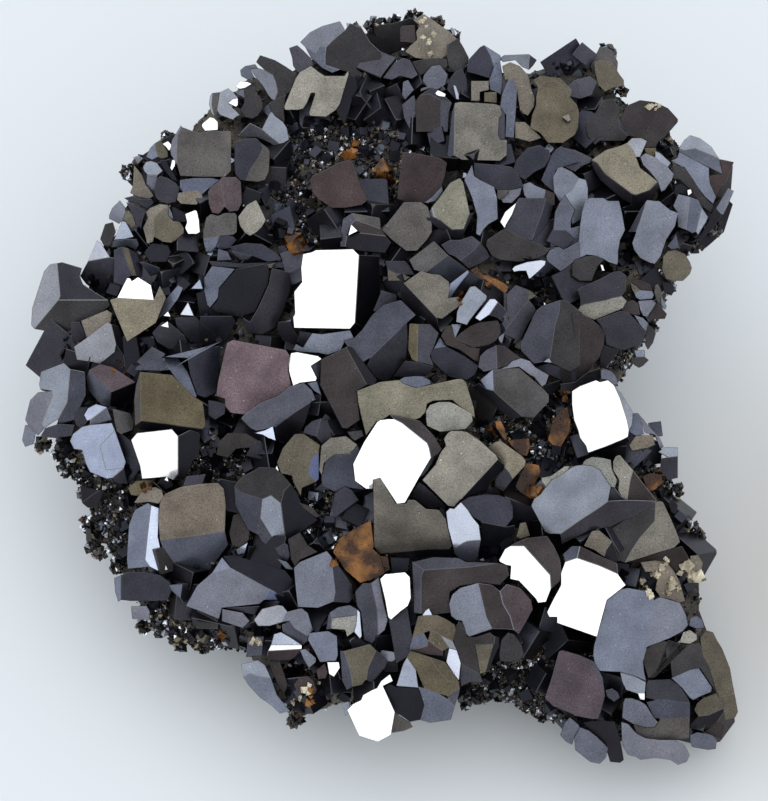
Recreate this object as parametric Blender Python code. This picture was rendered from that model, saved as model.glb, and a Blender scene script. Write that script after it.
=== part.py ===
"""Galena specimen: cubes of galena grown together on dark sphalerite, with one amber blende crystal."""

import math
import random

import bpy
import bmesh
from mathutils import Quaternion, Vector, noise

# Real sizes in millimetres
MM = 0.001
MM_PER_PIXEL = 0.2
VIEW_DISTANCE = 445.0
PLATE_MIDDLE_DEPTH = -8.0
PLATE_SLOPE = 0.268
PLATE_DOME = 9.0
PLATE_HALF_WIDTH = 72.0
PLATE_HALF_LENGTH = 76.0
PLATE_DOME_END = 1.6
LIFT_ABOVE_BASE = 50.0
RIM_DEPTH = 4.0
BASE_HALF_WIDTH = 40.0
BASE_HALF_LENGTH = 40.0
BASE_MIDDLE_X = 0.0
BASE_MIDDLE_Y = -8.0
MATRIX_SPOKES = 48
MATRIX_TOP_RINGS = (0.4, 0.72, 0.9)
UNDERSIDE_RINGS = ((0.18, 0.34), (0.55, 0.72))
UNDERSIDE_REACH = 60.0
PIECE_GAP = 0.3
CRUMB_VOLUME = 12.0
LEAST_STAND = 1.0
MERGE_WITHIN = 0.002
LEAST_CUT = 0.12
SMALLEST_CUT = 0.25
ROOT_DEPTH = 4.0
FILLER_SPACING = 50.0
FILLER_EDGE = (9.0, 12.0)
FILLER_SHAKE = 9.0
FILLER_CLEAR = 6.0
FILLER_SINK = 0.72
FILLER_BELOW = 0.5
RIM_MARGIN = 22.0
MIDDLE_SHIFT = (-0.36, -14.9)

# Photo picture middle, the range that the plate covers, and the tilt of the view above the table
PICTURE_MIDDLE = (384.0, 400.5)
PLATE_ACROSS = (20.0, 750.0)
PLATE_DOWN = (10.0, 775.0)
VIEW_ELEVATION = math.radians(60)

# Edge of the matrix as seen in the photo, in its pixels, clockwise from the top
MATRIX_OUTLINE = (
    (428, 16), (450, 40), (470, 62), (500, 68), (540, 68), (575, 50), (600, 62), (625, 95),
    (650, 112), (685, 145), (710, 165), (712, 195), (716, 228), (690, 245), (670, 262), (676, 290),
    (655, 312), (654, 330), (652, 352), (640, 364), (632, 354), (620, 352), (610, 368), (604, 384),
    (602, 402), (615, 430), (640, 440), (674, 452), (676, 485), (678, 500), (690, 530), (700, 540),
    (702, 560), (700, 580), (680, 592), (682, 615), (700, 632), (715, 665), (725, 700), (715, 725),
    (700, 742), (670, 756), (620, 760), (585, 745), (560, 722), (535, 705), (500, 700), (455, 702),
    (420, 715), (385, 722), (350, 702), (325, 705), (305, 724), (292, 722), (270, 695), (252, 672),
    (245, 650), (232, 645), (205, 648), (180, 646), (150, 628), (135, 605), (122, 575), (98, 548),
    (90, 525), (88, 500), (78, 470), (60, 455), (50, 440), (45, 415), (55, 385), (62, 362),
    (42, 350), (62, 338), (70, 310), (90, 270), (115, 225), (130, 190), (160, 160), (185, 130),
    (215, 100), (250, 75), (300, 60), (345, 40), (385, 60), (405, 40),
)

# Crystals read from the photo, in its pixels: the nearest corner of the main face, the ends of its
# two edges there, the run of the edge that goes back, then how far it stands out of the plate in
# millimetres and how much of its corners is cut, alone or for the four corners of the main face
TOP_CRYSTALS = (
    ((325, 50), (356, 20), (358, 87), (-23, -3), 6, 0.08),
    ((303, 108), (284, 108), (312, 68), (9, 6), 5, 0.1),
    ((338, 115), (309, 117), (347, 76), (16, 4), 5, 0.1),
    ((262, 68), (282, 88), (254, 86), (22, -6), 2, 0.1),
    ((232, 74), (250, 62), (242, 88), (-4, -6), 0.5, 0.1),
    ((212, 96), (230, 86), (222, 112), (-6, -4), 1, 0.1),
    ((228, 120), (245, 112), (228, 98), (6, 6), 1.5, 0.1),
    ((243, 119), (262, 110), (244, 88), (6, 5), 2.5, 0.12),
    ((262, 130), (287, 146), (270, 114), (-5, 8), 1.5, 0.05),
    ((362, 92), (398, 56), (386, 112), (14, 10), 2, 0.1),
    ((416, 96), (452, 97), (415, 134), (-13, 3), 6, 0.06),
    ((500, 161), (454, 159), (499, 102), (7, 10), 9, (0.1, 0.08, 0.05, 0.08)),
    ((484, 45), (469, 58), (492, 68), (16, 9), 3, 0.05),
    ((531, 80), (504, 80), (530, 53), (7, 3), 2, 0.08),
    ((534, 140), (578, 143), (542, 80), (-4, 6), 4, (0.25, 0.25, 0.4, 0.1)),
    ((502, 140), (531, 140), (507, 74), (4, 8), 3, 0.08),
    ((540, 62), (576, 38), (552, 82), (-3, -6), 1, 0.05),
    ((598, 84), (620, 90), (598, 62), (5, 6), 4, 0.15),
    ((600, 145), (632, 140), (594, 106), (5, 7), 5, 0.2),
    ((632, 144), (668, 140), (628, 108), (4, 7), 5, 0.25),
    ((706, 172), (676, 152), (716, 200), (28, -10), 4, 0.02),
    ((717, 157), (686, 134), (735, 164), (-6, 14), 2, 0.0),
    ((445, 82), (428, 66), (462, 64), (4, 8), 2, 0.1),
    ((420, 60), (408, 40), (440, 48), (-4, 6), 1, 0.1),
)

UPPER_LEFT_CRYSTALS = (
    ((178, 177), (232, 177), (178, 130), (-8, 7), 8, 0.04),
    ((238, 185), (273, 183), (234, 137), (4, 7), 7, 0.22),
    ((132, 198), (154, 198), (132, 170), (-4, 3), 4, 0.2),
    ((157, 204), (180, 201), (158, 176), (3, 5), 3, 0.15),
    ((172, 245), (153, 216), (186, 236), (3, 6), 5, 0.08),
    ((213, 216), (207, 190), (243, 206), (-3, 6), 6, 0.12),
    ((243, 238), (268, 224), (236, 212), (3, 6), 5, 0.2),
    ((203, 239), (237, 236), (205, 212), (-4, 6), 4, 0.12),
    ((178, 206), (203, 206), (180, 190), (3, 5), 3, 0.15),
    ((371, 206), (350, 160), (328, 225), (10, 6), 8, 0.06),
    ((112, 256), (84, 254), (114, 298), (12, -12), 5, (0.25, 0.05, 0.05, 0.05)),
    ((98, 242), (106, 222), (120, 248), (-3, 6), 3, 0.05),
    ((115, 240), (122, 220), (138, 238), (3, 7), 3, 0.2),
    ((57, 300), (102, 303), (57, 263), (-21, 26), 4, 0.0),
    ((127, 342), (110, 300), (170, 324), (4, 7), 6, 0.04),
    ((117, 299), (155, 300), (122, 276), (-3, -9), 8, (0, 0, 0.3, 0.3)),
    ((166, 318), (212, 252), (204, 332), (-6, -2), 4, 0.0),
    ((214, 312), (244, 330), (226, 262), (-10, -4), 4, 0.05),
    ((248, 334), (287, 318), (240, 262), (-14, 4), 6, 0.05),
    ((243, 268), (287, 266), (241, 243), (0, 8), 4, 0.0),
    ((140, 262), (160, 240), (158, 276), (-4, 4), 3, 0.05),
    ((270, 215), (290, 205), (276, 240), (4, 5), 1.5, 0.1),
    ((150, 156), (168, 146), (160, 172), (-4, 3), 1.5, 0.1),
    ((132, 222), (150, 210), (148, 238), (3, 5), 2, 0.1),
)

MIDDLE_LEFT_CRYSTALS = (
    ((357, 250), (300, 251), (355, 325), (27, 3), 10, (0.1, 0.03, 0.02, 0.12)),
    ((397, 199), (402, 152), (442, 203), (-4, 3), 8, (0, 0, 0.06, 0.35)),
    ((349, 235), (390, 242), (354, 212), (-8, 14), 6, (0.3, 0.05, 0.05, 0.1)),
    ((363, 362), (347, 343), (415, 317), (8, 6), 6, 0.08),
    ((380, 385), (366, 358), (408, 360), (4, 4), 4, 0.1),
    ((417, 363), (418, 322), (437, 366), (-9, -3), 4, 0.05),
    ((396, 380), (402, 360), (440, 376), (0, 6), 1, 0.0),
    ((345, 429), (318, 366), (378, 410), (-6, 2), 6, 0.03),
    ((310, 356), (354, 342), (305, 333), (3, 6), 4, 0.02),
    ((291, 388), (317, 382), (292, 352), (-2, 5), 7, 0.1),
    ((216, 409), (229, 341), (278, 418), (-4, 8), 8, 0.05),
    ((254, 432), (242, 418), (316, 397), (3, 8), 10, 0.06),
    ((218, 348), (174, 318), (228, 338), (2, 6), 4, 0.05),
    ((178, 351), (152, 337), (190, 336), (0, 6), 3, 0.15),
    ((187, 358), (222, 347), (197, 397), (-22, 0), 7, 0.02),
    ((136, 425), (139, 372), (206, 429), (-4, 3), 9, 0.04),
    ((177, 481), (176, 429), (140, 479), (22, -3), 9, (0.1, 0.1, 0.2, 0.05)),
    ((110, 393), (88, 370), (136, 384), (0, 18), 7, 0.03),
    ((88, 338), (80, 320), (114, 324), (-9, 3), 4, 0.05),
    ((117, 352), (107, 322), (83, 376), (11, 3), 7, 0.1),
    ((64, 411), (67, 364), (41, 430), (18, 2), 5, (0.05, 0.1, 0.12, 0.05)),
    ((27, 434), (47, 426), (30, 394), (-4, 6), 2, 0.3),
    ((46, 438), (76, 433), (48, 424), (0, 5), 3, 0.1),
    ((103, 464), (127, 467), (96, 420), (-16, 8), 8, 0.06),
    ((88, 474), (111, 481), (78, 434), (-3, 5), 6, 0.08),
    ((88, 447), (116, 433), (84, 425), (-8, 4), 8.5, 0.06),
    ((120, 434), (136, 425), (110, 408), (2, 5), 4, 0.15),
    ((130, 484), (142, 468), (120, 436), (-3, 4), 4, 0.0),
    ((150, 370), (136, 362), (166, 354), (2, 5), 3, 0.1),
    ((210, 418), (206, 398), (226, 404), (2, 6), 4, 0.05),
)

CENTRE_CRYSTALS = (
    ((438, 320), (403, 283), (461, 303), (-6, 13), 9, 0.12),
    ((428, 208), (461, 172), (453, 232), (-2, 10), 7, 0.08),
    ((410, 256), (382, 230), (436, 226), (2, 8), 6, 0.15),
    ((427, 275), (408, 259), (452, 256), (6, 7), 7, 0.08),
    ((450, 298), (443, 272), (470, 272), (11, 3), 5, 0.0),
    ((458, 262), (443, 246), (484, 243), (4, 10), 2, 0.0),
    ((476, 224), (500, 222), (466, 172), (3, 8), 4, 0.08),
    ((495, 193), (524, 188), (474, 170), (-2, -8), 1, 0.0),
    ((505, 229), (499, 212), (523, 190), (6, 4), 4, 0.0),
    ((533, 241), (507, 229), (546, 192), (9, -2), 6, 0.08),
    ((525, 181), (550, 160), (512, 160), (3, 6), 2, 0.05),
    ((592, 164), (557, 148), (586, 190), (4, 10), 2, 0.05),
    ((552, 221), (579, 224), (558, 170), (-2, 6), 5, 0.15),
    ((491, 266), (480, 240), (549, 250), (2, 12), 3, 0.0),
    ((529, 281), (511, 269), (547, 262), (3, 8), 5, 0.0),
    ((618, 265), (578, 246), (622, 200), (4, 10), 6, 0.08),
    ((556, 272), (546, 254), (580, 262), (-2, 8), 3, 0.1),
    ((583, 285), (602, 264), (573, 262), (5, 6), 6, 0.2),
    ((470, 326), (450, 312), (496, 300), (6, 8), 7, 0.04),
    ((468, 349), (502, 343), (460, 326), (-3, 8), 5, 0.08),
    ((445, 375), (436, 342), (482, 366), (-3, 8), 2, 0.15),
    ((514, 346), (493, 336), (536, 306), (5, 7), 5, 0.12),
    ((549, 364), (522, 348), (560, 308), (7, 2), 5, 0.1),
    ((568, 366), (602, 350), (560, 310), (4, 8), 3, 0.15),
    ((584, 304), (628, 296), (580, 273), (11, 14), 5, 0.02),
    ((604, 350), (644, 338), (600, 318), (2, 6), 1, 0.1),
    ((492, 378), (482, 356), (520, 352), (0, 8), 3, 0.15),
    ((545, 388), (500, 372), (560, 366), (2, 8), 4, 0.1),
    ((495, 390), (549, 396), (493, 368), (-16, 4), 6, (0.1, 0.05, 0.1, 0.05)),
    ((533, 420), (494, 388), (550, 396), (-6, 12), 8, (0.08, 0.04, 0.15, 0.05)),
)

UPPER_RIGHT_CRYSTALS = (
    ((633, 197), (592, 161), (659, 184), (-8, 8), 9, 0.1),
    ((659, 186), (640, 158), (676, 177), (5, 10), 4, 0.1),
    ((678, 228), (704, 235), (678, 196), (6, 8), 5, 0.12),
    ((634, 247), (656, 266), (657, 201), (-10, -2), 8, 0.05),
    ((666, 283), (691, 272), (660, 254), (3, 5), 1, 0.15),
    ((600, 470), (574, 466), (608, 456), (3, 6), 3, 0.1),
)

MIDDLE_RIGHT_CRYSTALS = (
    ((588, 454), (631, 438), (571, 389), (4, 6), 10, (0.02, 0.1, 0.15, 0.04)),
    ((632, 437), (646, 434), (630, 413), (4, 3), 4, 0.1),
    ((632, 451), (659, 447), (633, 436), (1, 4), 4, 0.1),
    ((554, 537), (529, 500), (614, 498), (7, 11), 10, 0.1),
    ((614, 491), (582, 474), (609, 456), (3, 6), 7, 0.12),
    ((614, 490), (628, 499), (618, 454), (4, 3), 6, 0.1),
    ((606, 530), (656, 502), (600, 490), (0, 6), 3, 0.0),
    ((604, 558), (583, 546), (613, 542), (3, 5), 5, 0.04),
    ((561, 567), (578, 562), (562, 545), (2, 4), 4, 0.1),
    ((660, 500), (626, 562), (684, 545), (-22, 4), 6, 0.0),
    ((452, 508), (420, 479), (500, 458), (-3, 12), 10, (0.05, 0.05, 0.15, 0.08)),
    ((504, 492), (478, 468), (527, 460), (3, 8), 7, 0.12),
    ((426, 433), (474, 433), (427, 400), (1, 4), 9, 0.22),
    ((366, 437), (357, 390), (476, 420), (-2, 5), 8, 0.05),
    ((402, 389), (430, 388), (405, 376), (1, 3), 8.6, 0.3),
    ((400, 508), (351, 470), (434, 447), (5, 5), 11, (0.08, 0.15, 0.15, 0.12)),
    ((376, 553), (452, 549), (372, 478), (-1, 6), 8, (0.06, 0.0, 0.3, 0.0)),
    ((456, 550), (446, 510), (482, 538), (3, 13), 9, (0.04, 0.05, 0.15, 0.02)),
    ((481, 545), (517, 536), (466, 498), (-1, 18), 5, 0.0),
)

LOWER_LEFT_CRYSTALS = (
    ((238, 502), (290, 497), (240, 467), (0, 5), 4, 0.3),
    ((264, 546), (287, 544), (261, 496), (-24, -4), 7, (0.25, 0.05, 0.2, 0.05)),
    ((275, 464), (295, 431), (306, 490), (-3, 6), 7, 0.06),
    ((334, 466), (319, 447), (362, 447), (0, 6), 7, 0.15),
    ((322, 489), (356, 487), (325, 455), (-1, 4), 6, 0.12),
    ((334, 516), (359, 507), (332, 490), (1, 4), 4, 0.12),
    ((318, 448), (301, 431), (335, 432), (0, 5), 5, 0.1),
    ((222, 455), (260, 447), (226, 430), (0, 6), 5, 0.2),
    ((136, 506), (163, 509), (142, 486), (-3, 6), 6, 0.25),
    ((160, 540), (226, 532), (158, 493), (8, 36), 10, (0.0, 0.02, 0.06, 0.1)),
    ((147, 568), (127, 569), (150, 502), (13, 3), 7, 0.05),
    ((120, 603), (177, 606), (121, 575), (-6, -3), 3, 0.02),
    ((190, 607), (214, 562), (256, 628), (4, 8), 8, (0.02, 0.2, 0.04, 0.02)),
    ((264, 626), (288, 614), (260, 608), (3, 5), 6, 0.12),
    ((310, 637), (284, 622), (313, 609), (-5, 10), 7, 0.08),
    ((268, 651), (304, 650), (275, 632), (2, 10), 6, 0.06),
    ((311, 675), (299, 656), (319, 660), (3, 5), 5, 0.1),
    ((316, 663), (338, 663), (309, 632), (-3, 3), 7, 0.08),
    ((268, 713), (291, 710), (241, 664), (-4, 6), 4, 0.08),
    ((276, 692), (291, 700), (268, 661), (2, 4), 2, 0.0),
    ((299, 697), (319, 692), (296, 677), (2, 4), 6, 0.25),
    ((334, 691), (343, 687), (329, 661), (3, 3), 5, 0.0),
    ((299, 608), (334, 601), (294, 562), (2, 4), 9, 0.08),
    ((334, 601), (299, 608), (329, 551), (18, 2), 8.9, 0.06),
    ((330, 631), (357, 637), (330, 606), (6, 3), 6, 0.12),
    ((232, 574), (282, 594), (250, 548), (3, 6), 3, 0.05),
)

LOWER_MIDDLE_CRYSTALS = (
    ((352, 689), (345, 651), (375, 684), (-8, 2), 7, 0.06),
    ((370, 686), (397, 677), (378, 652), (2, 6), 4, 0.1),
    ((362, 748), (347, 708), (400, 727), (2, 4), 8, (0.3, 0.05, 0.02, 0.35)),
    ((420, 691), (407, 653), (461, 706), (-8, 22), 7, 0.0),
    ((410, 643), (420, 614), (446, 657), (2, 8), 8, 0.12),
    ((458, 682), (443, 655), (462, 662), (5, 3), 8, 0.0),
    ((440, 667), (412, 655), (446, 651), (0, 5), 6, 0.0),
    ((396, 664), (388, 616), (415, 652), (3, 4), 6, 0.12),
    ((386, 620), (381, 574), (412, 612), (-10, 1), 9, 0.12),
    ((376, 642), (372, 578), (357, 640), (-2, 4), 6, 0.08),
    ((418, 615), (413, 561), (500, 606), (-3, -2), 6, 0.04),
    ((492, 630), (466, 638), (475, 586), (17, -4), 8, 0.08),
    ((516, 632), (501, 596), (535, 612), (-2, 5), 6, 0.1),
    ((538, 604), (497, 562), (558, 582), (9, -8), 9, (0.05, 0.1, 0.25, 0.2)),
    ((506, 664), (525, 662), (504, 636), (2, 4), 5, 0.2),
    ((478, 677), (464, 644), (495, 664), (-2, 4), 6, 0.06),
    ((462, 688), (482, 681), (460, 665), (2, 4), 4, 0.0),
)

LOWER_RIGHT_CRYSTALS = (
    ((549, 618), (597, 638), (574, 556), (2, -12), 10, (0.12, 0.0, 0.08, 0.18)),
    ((594, 670), (642, 674), (610, 592), (2, 8), 9, 0.06),
    ((650, 650), (690, 632), (655, 598), (3, 4), 8, 0.08),
    ((549, 703), (597, 721), (561, 651), (-4, -1), 9, (0.06, 0.06, 0.2, 0.06)),
    ((603, 765), (561, 730), (615, 748), (-3, 4), 4, 0.1),
    ((622, 722), (656, 722), (624, 699), (3, 4), 6, 0.2),
    ((634, 737), (690, 750), (637, 712), (2, 5), 5, 0.05),
    ((625, 765), (688, 766), (622, 733), (4, 4), 5.5, 0.12),
    ((652, 722), (690, 722), (650, 686), (3, 4), 4, 0.12),
    ((689, 701), (671, 680), (713, 689), (3, 5), 8, 0.04),
    ((652, 690), (706, 692), (656, 640), (3, 5), 5, 0.12),
    ((672, 655), (696, 647), (680, 630), (2, 4), 6, 0.25),
    ((712, 713), (738, 716), (700, 630), (3, 3), 5, 0.04),
    ((692, 751), (719, 750), (692, 733), (2, 4), 4, 0.25),
    ((626, 700), (645, 700), (640, 676), (2, 4), 6, 0.05),
    ((650, 575), (690, 575), (660, 552), (2, 4), 4, 0.05),
)

# Places where the dark sphalerite lies open between the crystals: pixel place and reach
OPEN_PLACES = (
    (300, 140, 24), (335, 142, 28), (376, 150, 28), (388, 190, 18), (300, 202, 20), (312, 235, 20),
    (425, 146, 14), (215, 462, 26), (242, 470, 26), (320, 495, 28), (330, 530, 28), (300, 522, 20),
    (245, 535, 18), (555, 435, 30), (495, 430, 18), (530, 450, 22), (545, 408, 14), (105, 510, 30),
    (110, 545, 22), (75, 460, 18), (185, 625, 25), (220, 640, 15), (155, 620, 12), (500, 690, 36),
    (545, 655, 24), (580, 645, 15), (540, 715, 15), (600, 735, 22), (640, 345, 24), (615, 350, 10),
    (660, 470, 20), (682, 500, 12), (695, 540, 14), (55, 350, 14), (300, 670, 10), (290, 706, 12),
    (545, 287, 18), (665, 575, 18), (700, 235, 10), (357, 560, 26),
)

# Amber blende crystal, read in the same way
BLENDE = ((357, 588), (331, 553), (387, 572), (3, 5), 5, 0.2)


def clear_scene():
    """Takes away whatever the start file holds."""
    for thing in list(bpy.data.objects):
        bpy.data.objects.remove(thing, do_unlink=True)


def plate_depth(u, v):
    """How near the top of the plate is to the viewer, for a place across the view."""
    r2 = (u / PLATE_HALF_WIDTH) ** 2 + (v / PLATE_HALF_LENGTH) ** 2
    return PLATE_MIDDLE_DEPTH - PLATE_SLOPE * v - PLATE_DOME * min(r2, PLATE_DOME_END)


def across(pixel, depth):
    """Place across the view, in millimetres, of a photo pixel at this depth."""
    scale = MM_PER_PIXEL * (VIEW_DISTANCE - depth) / VIEW_DISTANCE
    return ((pixel[0] - PICTURE_MIDDLE[0]) * scale, (PICTURE_MIDDLE[1] - pixel[1]) * scale)


def on_plate(pixel, out=0.0):
    """View place of a pixel that stands this far out of the plate."""
    depth = 0.0
    for _ in range(4):
        u, v = across(pixel, depth)
        depth = plate_depth(u, v) + out
    u, v = across(pixel, depth)
    return Vector((u, v, depth))


def to_world(place):
    """Table millimetres of a view place."""
    s = math.sin(VIEW_ELEVATION)
    c = math.cos(VIEW_ELEVATION)
    u, v, w = place
    x = u + MIDDLE_SHIFT[0]
    y = v * s - w * c + MIDDLE_SHIFT[1]
    return Vector((x, y, v * c + w * s + LIFT_ABOVE_BASE))


def crystal_axes(a, b, back):
    """The three edges of a crystal in the view, from how its edges look."""
    length = 0.5 * (a.length + b.length)
    for _ in range(5):
        lean = min(back.length / length, 0.9)
        side = -back.normalized() * lean
        normal = Vector((side.x, side.y, math.sqrt(1 - lean * lean)))
        first = Vector((a.x, a.y, -a.dot(side) / normal.z)).normalized()
        second = Vector((b.x, b.y, -b.dot(side) / normal.z)).normalized()
        turned = second.cross(normal)
        if turned.dot(first) < 0:
            turned = -turned
        first = (first + turned).normalized()
        square = normal.cross(first)
        if square.dot(second) < 0:
            square = -square
        la = a.length_squared / max(first.xy.dot(a), 0.3 * a.length)
        lb = b.length_squared / max(square.xy.dot(b), 0.3 * b.length)
        length = 0.5 * (la + lb)
    return first * la, square * lb, -normal * max(length, 0.9 * min(la, lb))


def crystal_mesh(name, corner, edges, cuts, grow=0.0):
    """A cube laid on three edges, in metres on the table. Cuts are those of its eight corners."""
    directions = [edge.normalized() for edge in edges]
    lengths = [edge.length + 2 * grow for edge in edges]
    start = corner - sum(directions, Vector()) * grow
    mesh = bmesh.new()
    corners = {}
    for vert in bmesh.ops.create_cube(mesh, size=1.0)["verts"]:
        key = tuple(int(share > 0) for share in vert.co)
        at = start.copy()
        for axis in range(3):
            at += directions[axis] * lengths[axis] * key[axis]
        vert.co = to_world(at) * MM
        corners[key] = vert
    for key, vert in corners.items():
        cut = cuts[key] * min(lengths)
        if cut < SMALLEST_CUT:
            continue
        bmesh.ops.bevel(
            mesh, geom=[vert], offset=cut * MM, offset_type="OFFSET", segments=1, affect="VERTICES"
        )
    bmesh.ops.recalc_face_normals(mesh, faces=mesh.faces)
    if mesh.calc_volume(signed=True) < 0:
        bmesh.ops.reverse_faces(mesh, faces=mesh.faces)
    data = bpy.data.meshes.new(name)
    mesh.to_mesh(data)
    mesh.free()
    return data


def crystal_parts(row):
    """Corner, edges and corner cuts of a table row."""
    corner_px, a_px, b_px, back_px, out, cut = row
    corner = on_plate(corner_px, out)
    scale = MM_PER_PIXEL * (VIEW_DISTANCE - corner.z) / VIEW_DISTANCE
    a = Vector((a_px[0] - corner_px[0], corner_px[1] - a_px[1])) * scale
    b = Vector((b_px[0] - corner_px[0], corner_px[1] - b_px[1])) * scale
    back = Vector((back_px[0], -back_px[1])) * scale
    first, second, deep = crystal_axes(a, b, back)
    reach = min(deep.length, max(out + ROOT_DEPTH, 0.8 * deep.length))
    edges = (first, second, deep.normalized() * reach)
    front = cut if isinstance(cut, tuple) else (cut, cut, cut, cut)
    cuts = dict.fromkeys(((i, j, 1) for i in (0, 1) for j in (0, 1)), 0.0)
    for key, share in zip(((0, 0, 0), (1, 0, 0), (1, 1, 0), (0, 1, 0)), front):
        cuts[key] = share if share >= LEAST_CUT else 0.0
    return corner, edges, cuts


def covers(polygon, place, margin):
    """Whether a place lies inside a convex polygon by at least this margin."""
    turn = 0
    for i in range(4):
        p = Vector(polygon[i])
        q = Vector(polygon[(i + 1) % 4])
        side = (q - p).normalized()
        away = side.x * (place[1] - p.y) - side.y * (place[0] - p.x)
        if abs(away) < margin:
            return False
        if turn and (away > 0) != (turn > 0):
            return False
        turn = away
    return True


def fillers(rows):
    """The lesser crystals that fill the gaps low between the measured ones: corner and edges."""
    rng = random.Random(11)
    faces = []
    for corner, a, b, _, out, _ in rows:
        far = (a[0] + b[0] - corner[0], a[1] + b[1] - corner[1])
        faces.append((corner, a, far, b, out))
    found = []
    x = PLATE_ACROSS[0]
    while x < PLATE_ACROSS[1]:
        y = PLATE_DOWN[0]
        while y < PLATE_DOWN[1]:
            shake = [rng.uniform(-FILLER_SHAKE, FILLER_SHAKE) for _ in range(2)]
            place = (x + shake[0], y + shake[1])
            edge = rng.uniform(*FILLER_EDGE)
            spin = Quaternion([rng.gauss(0, 1) for _ in range(4)]).normalized()
            y += FILLER_SPACING
            away = Vector(place) - Vector(PICTURE_MIDDLE)
            if away.length > outline_radius(math.atan2(away.y, away.x)) - RIM_MARGIN:
                continue
            if any((Vector(spot[:2]) - Vector(place)).length < spot[2] for spot in OPEN_PLACES):
                continue
            if any(covers(face[:4], place, FILLER_CLEAR) for face in faces):
                continue
            near = []
            for corner, a, far, b, out in faces:
                middle = (Vector(a) + Vector(b)) / 2
                near.append(((middle - Vector(place)).length, out))
            near.sort()
            top = min(out for _, out in near[:3]) - FILLER_BELOW
            middle = on_plate(place, top - FILLER_SINK * edge)
            turn = spin.to_matrix()
            edges = [turn @ Vector([edge if i == axis else 0 for i in range(3)]) for axis in range(3)]
            found.append((middle - sum(edges, Vector()) / 2, edges))
        x += FILLER_SPACING
    return found


def outline_radius(angle):
    """Distance in pixels from the picture middle to the edge of the matrix."""
    way = Vector((math.cos(angle), math.sin(angle)))
    middle = Vector(PICTURE_MIDDLE)
    furthest = 0.0
    count = len(MATRIX_OUTLINE)
    for i in range(count):
        p = Vector(MATRIX_OUTLINE[i]) - middle
        q = Vector(MATRIX_OUTLINE[(i + 1) % count]) - middle
        side = q - p
        cross = way.x * side.y - way.y * side.x
        if abs(cross) < 1e-9:
            continue
        along = (p.x * side.y - p.y * side.x) / cross
        share = (p.x * way.y - p.y * way.x) / cross
        if along > 0 and -1e-6 <= share <= 1 + 1e-6:
            furthest = max(furthest, along)
    return furthest


def lump(place, size, height):
    """Soft unevenness of this size and height at a place."""
    return height * noise.noise(Vector(place) / size)


def from_middle(angle, reach):
    """The photo pixel this far from the picture middle."""
    return (PICTURE_MIDDLE[0] + math.cos(angle) * reach, PICTURE_MIDDLE[1] + math.sin(angle) * reach)


def matrix_mesh(name, grow=0.0):
    """The plate: a domed top, a thin rim and an underside that runs in to the flat cut base."""
    spokes = MATRIX_SPOKES
    top = []
    for share in MATRIX_TOP_RINGS:
        ring = []
        for i in range(0, spokes, 2):
            angle = 2 * math.pi * i / spokes
            pixel = from_middle(angle, outline_radius(angle) * share)
            bump = lump((pixel[0], pixel[1], 0), 45, 2.2)
            ring.append(to_world(on_plate(pixel, bump + grow)))
        top.append(ring)
    rim = []
    for i in range(spokes):
        angle = 2 * math.pi * i / spokes
        pixel = from_middle(angle, outline_radius(angle) + grow / MM_PER_PIXEL)
        rim.append(to_world(on_plate(pixel, -RIM_DEPTH + lump((pixel[0], pixel[1], 9), 30, 1.5))))
    rings = [rim]
    base = []
    for i in range(spokes):
        angle = 2 * math.pi * i / spokes
        wave = 1 + lump((math.cos(angle) * 40, math.sin(angle) * 40, 5), 20, 0.12)
        x = BASE_MIDDLE_X + BASE_HALF_WIDTH * math.cos(angle) * wave
        y = BASE_MIDDLE_Y - BASE_HALF_LENGTH * math.sin(angle) * wave
        base.append(Vector((x, y, 0)))
    for share, drop in UNDERSIDE_RINGS:
        ring = []
        for i in range(spokes):
            start = rim[i]
            end = base[i]
            x = start.x + (end.x - start.x) * share
            y = start.y + (end.y - start.y) * share
            z = start.z * (1 - drop)
            rough = lump((x, y, z), 14, 2.4) * (1 - share)
            out = 1 + rough / UNDERSIDE_REACH
            ring.append(Vector((x * out, y * out, z + 0.5 * rough)))
        rings.append(ring)
    rings.append(base)
    mesh = bmesh.new()
    middle_top = mesh.verts.new(to_world(on_plate(PICTURE_MIDDLE, grow)) * MM)
    middle_base = mesh.verts.new(Vector((BASE_MIDDLE_X, BASE_MIDDLE_Y, 0)) * MM)
    upper = [[mesh.verts.new(point * MM) for point in ring] for ring in top]
    lower = [[mesh.verts.new(point * MM) for point in ring] for ring in rings]
    half = spokes // 2
    for i in range(half):
        j = (i + 1) % half
        mesh.faces.new((middle_top, upper[0][i], upper[0][j]))
        for inner, outer in zip(upper, upper[1:]):
            mesh.faces.new((inner[i], outer[i], outer[j]))
            mesh.faces.new((inner[i], outer[j], inner[j]))
        between = lower[0][2 * i + 1]
        mesh.faces.new((upper[-1][i], lower[0][2 * i], between))
        mesh.faces.new((upper[-1][i], between, upper[-1][j]))
        mesh.faces.new((upper[-1][j], between, lower[0][(2 * i + 2) % spokes]))
    for i in range(spokes):
        j = (i + 1) % spokes
        mesh.faces.new((middle_base, lower[-1][j], lower[-1][i]))
        for inner, outer in zip(lower, lower[1:]):
            mesh.faces.new((inner[i], outer[i], outer[j]))
            mesh.faces.new((inner[i], outer[j], inner[j]))
    bmesh.ops.recalc_face_normals(mesh, faces=mesh.faces)
    if mesh.calc_volume(signed=True) < 0:
        bmesh.ops.reverse_faces(mesh, faces=mesh.faces)
    data = bpy.data.meshes.new(name)
    mesh.to_mesh(data)
    mesh.free()
    return data


def material(name, color, metallic, roughness):
    """A plain finish for a node."""
    made = bpy.data.materials.new(name)
    made.use_nodes = True
    shader = made.node_tree.nodes["Principled BSDF"]
    shader.inputs["Base Color"].default_value = (*color, 1)
    shader.inputs["Metallic"].default_value = metallic
    shader.inputs["Roughness"].default_value = roughness
    return made


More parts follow.
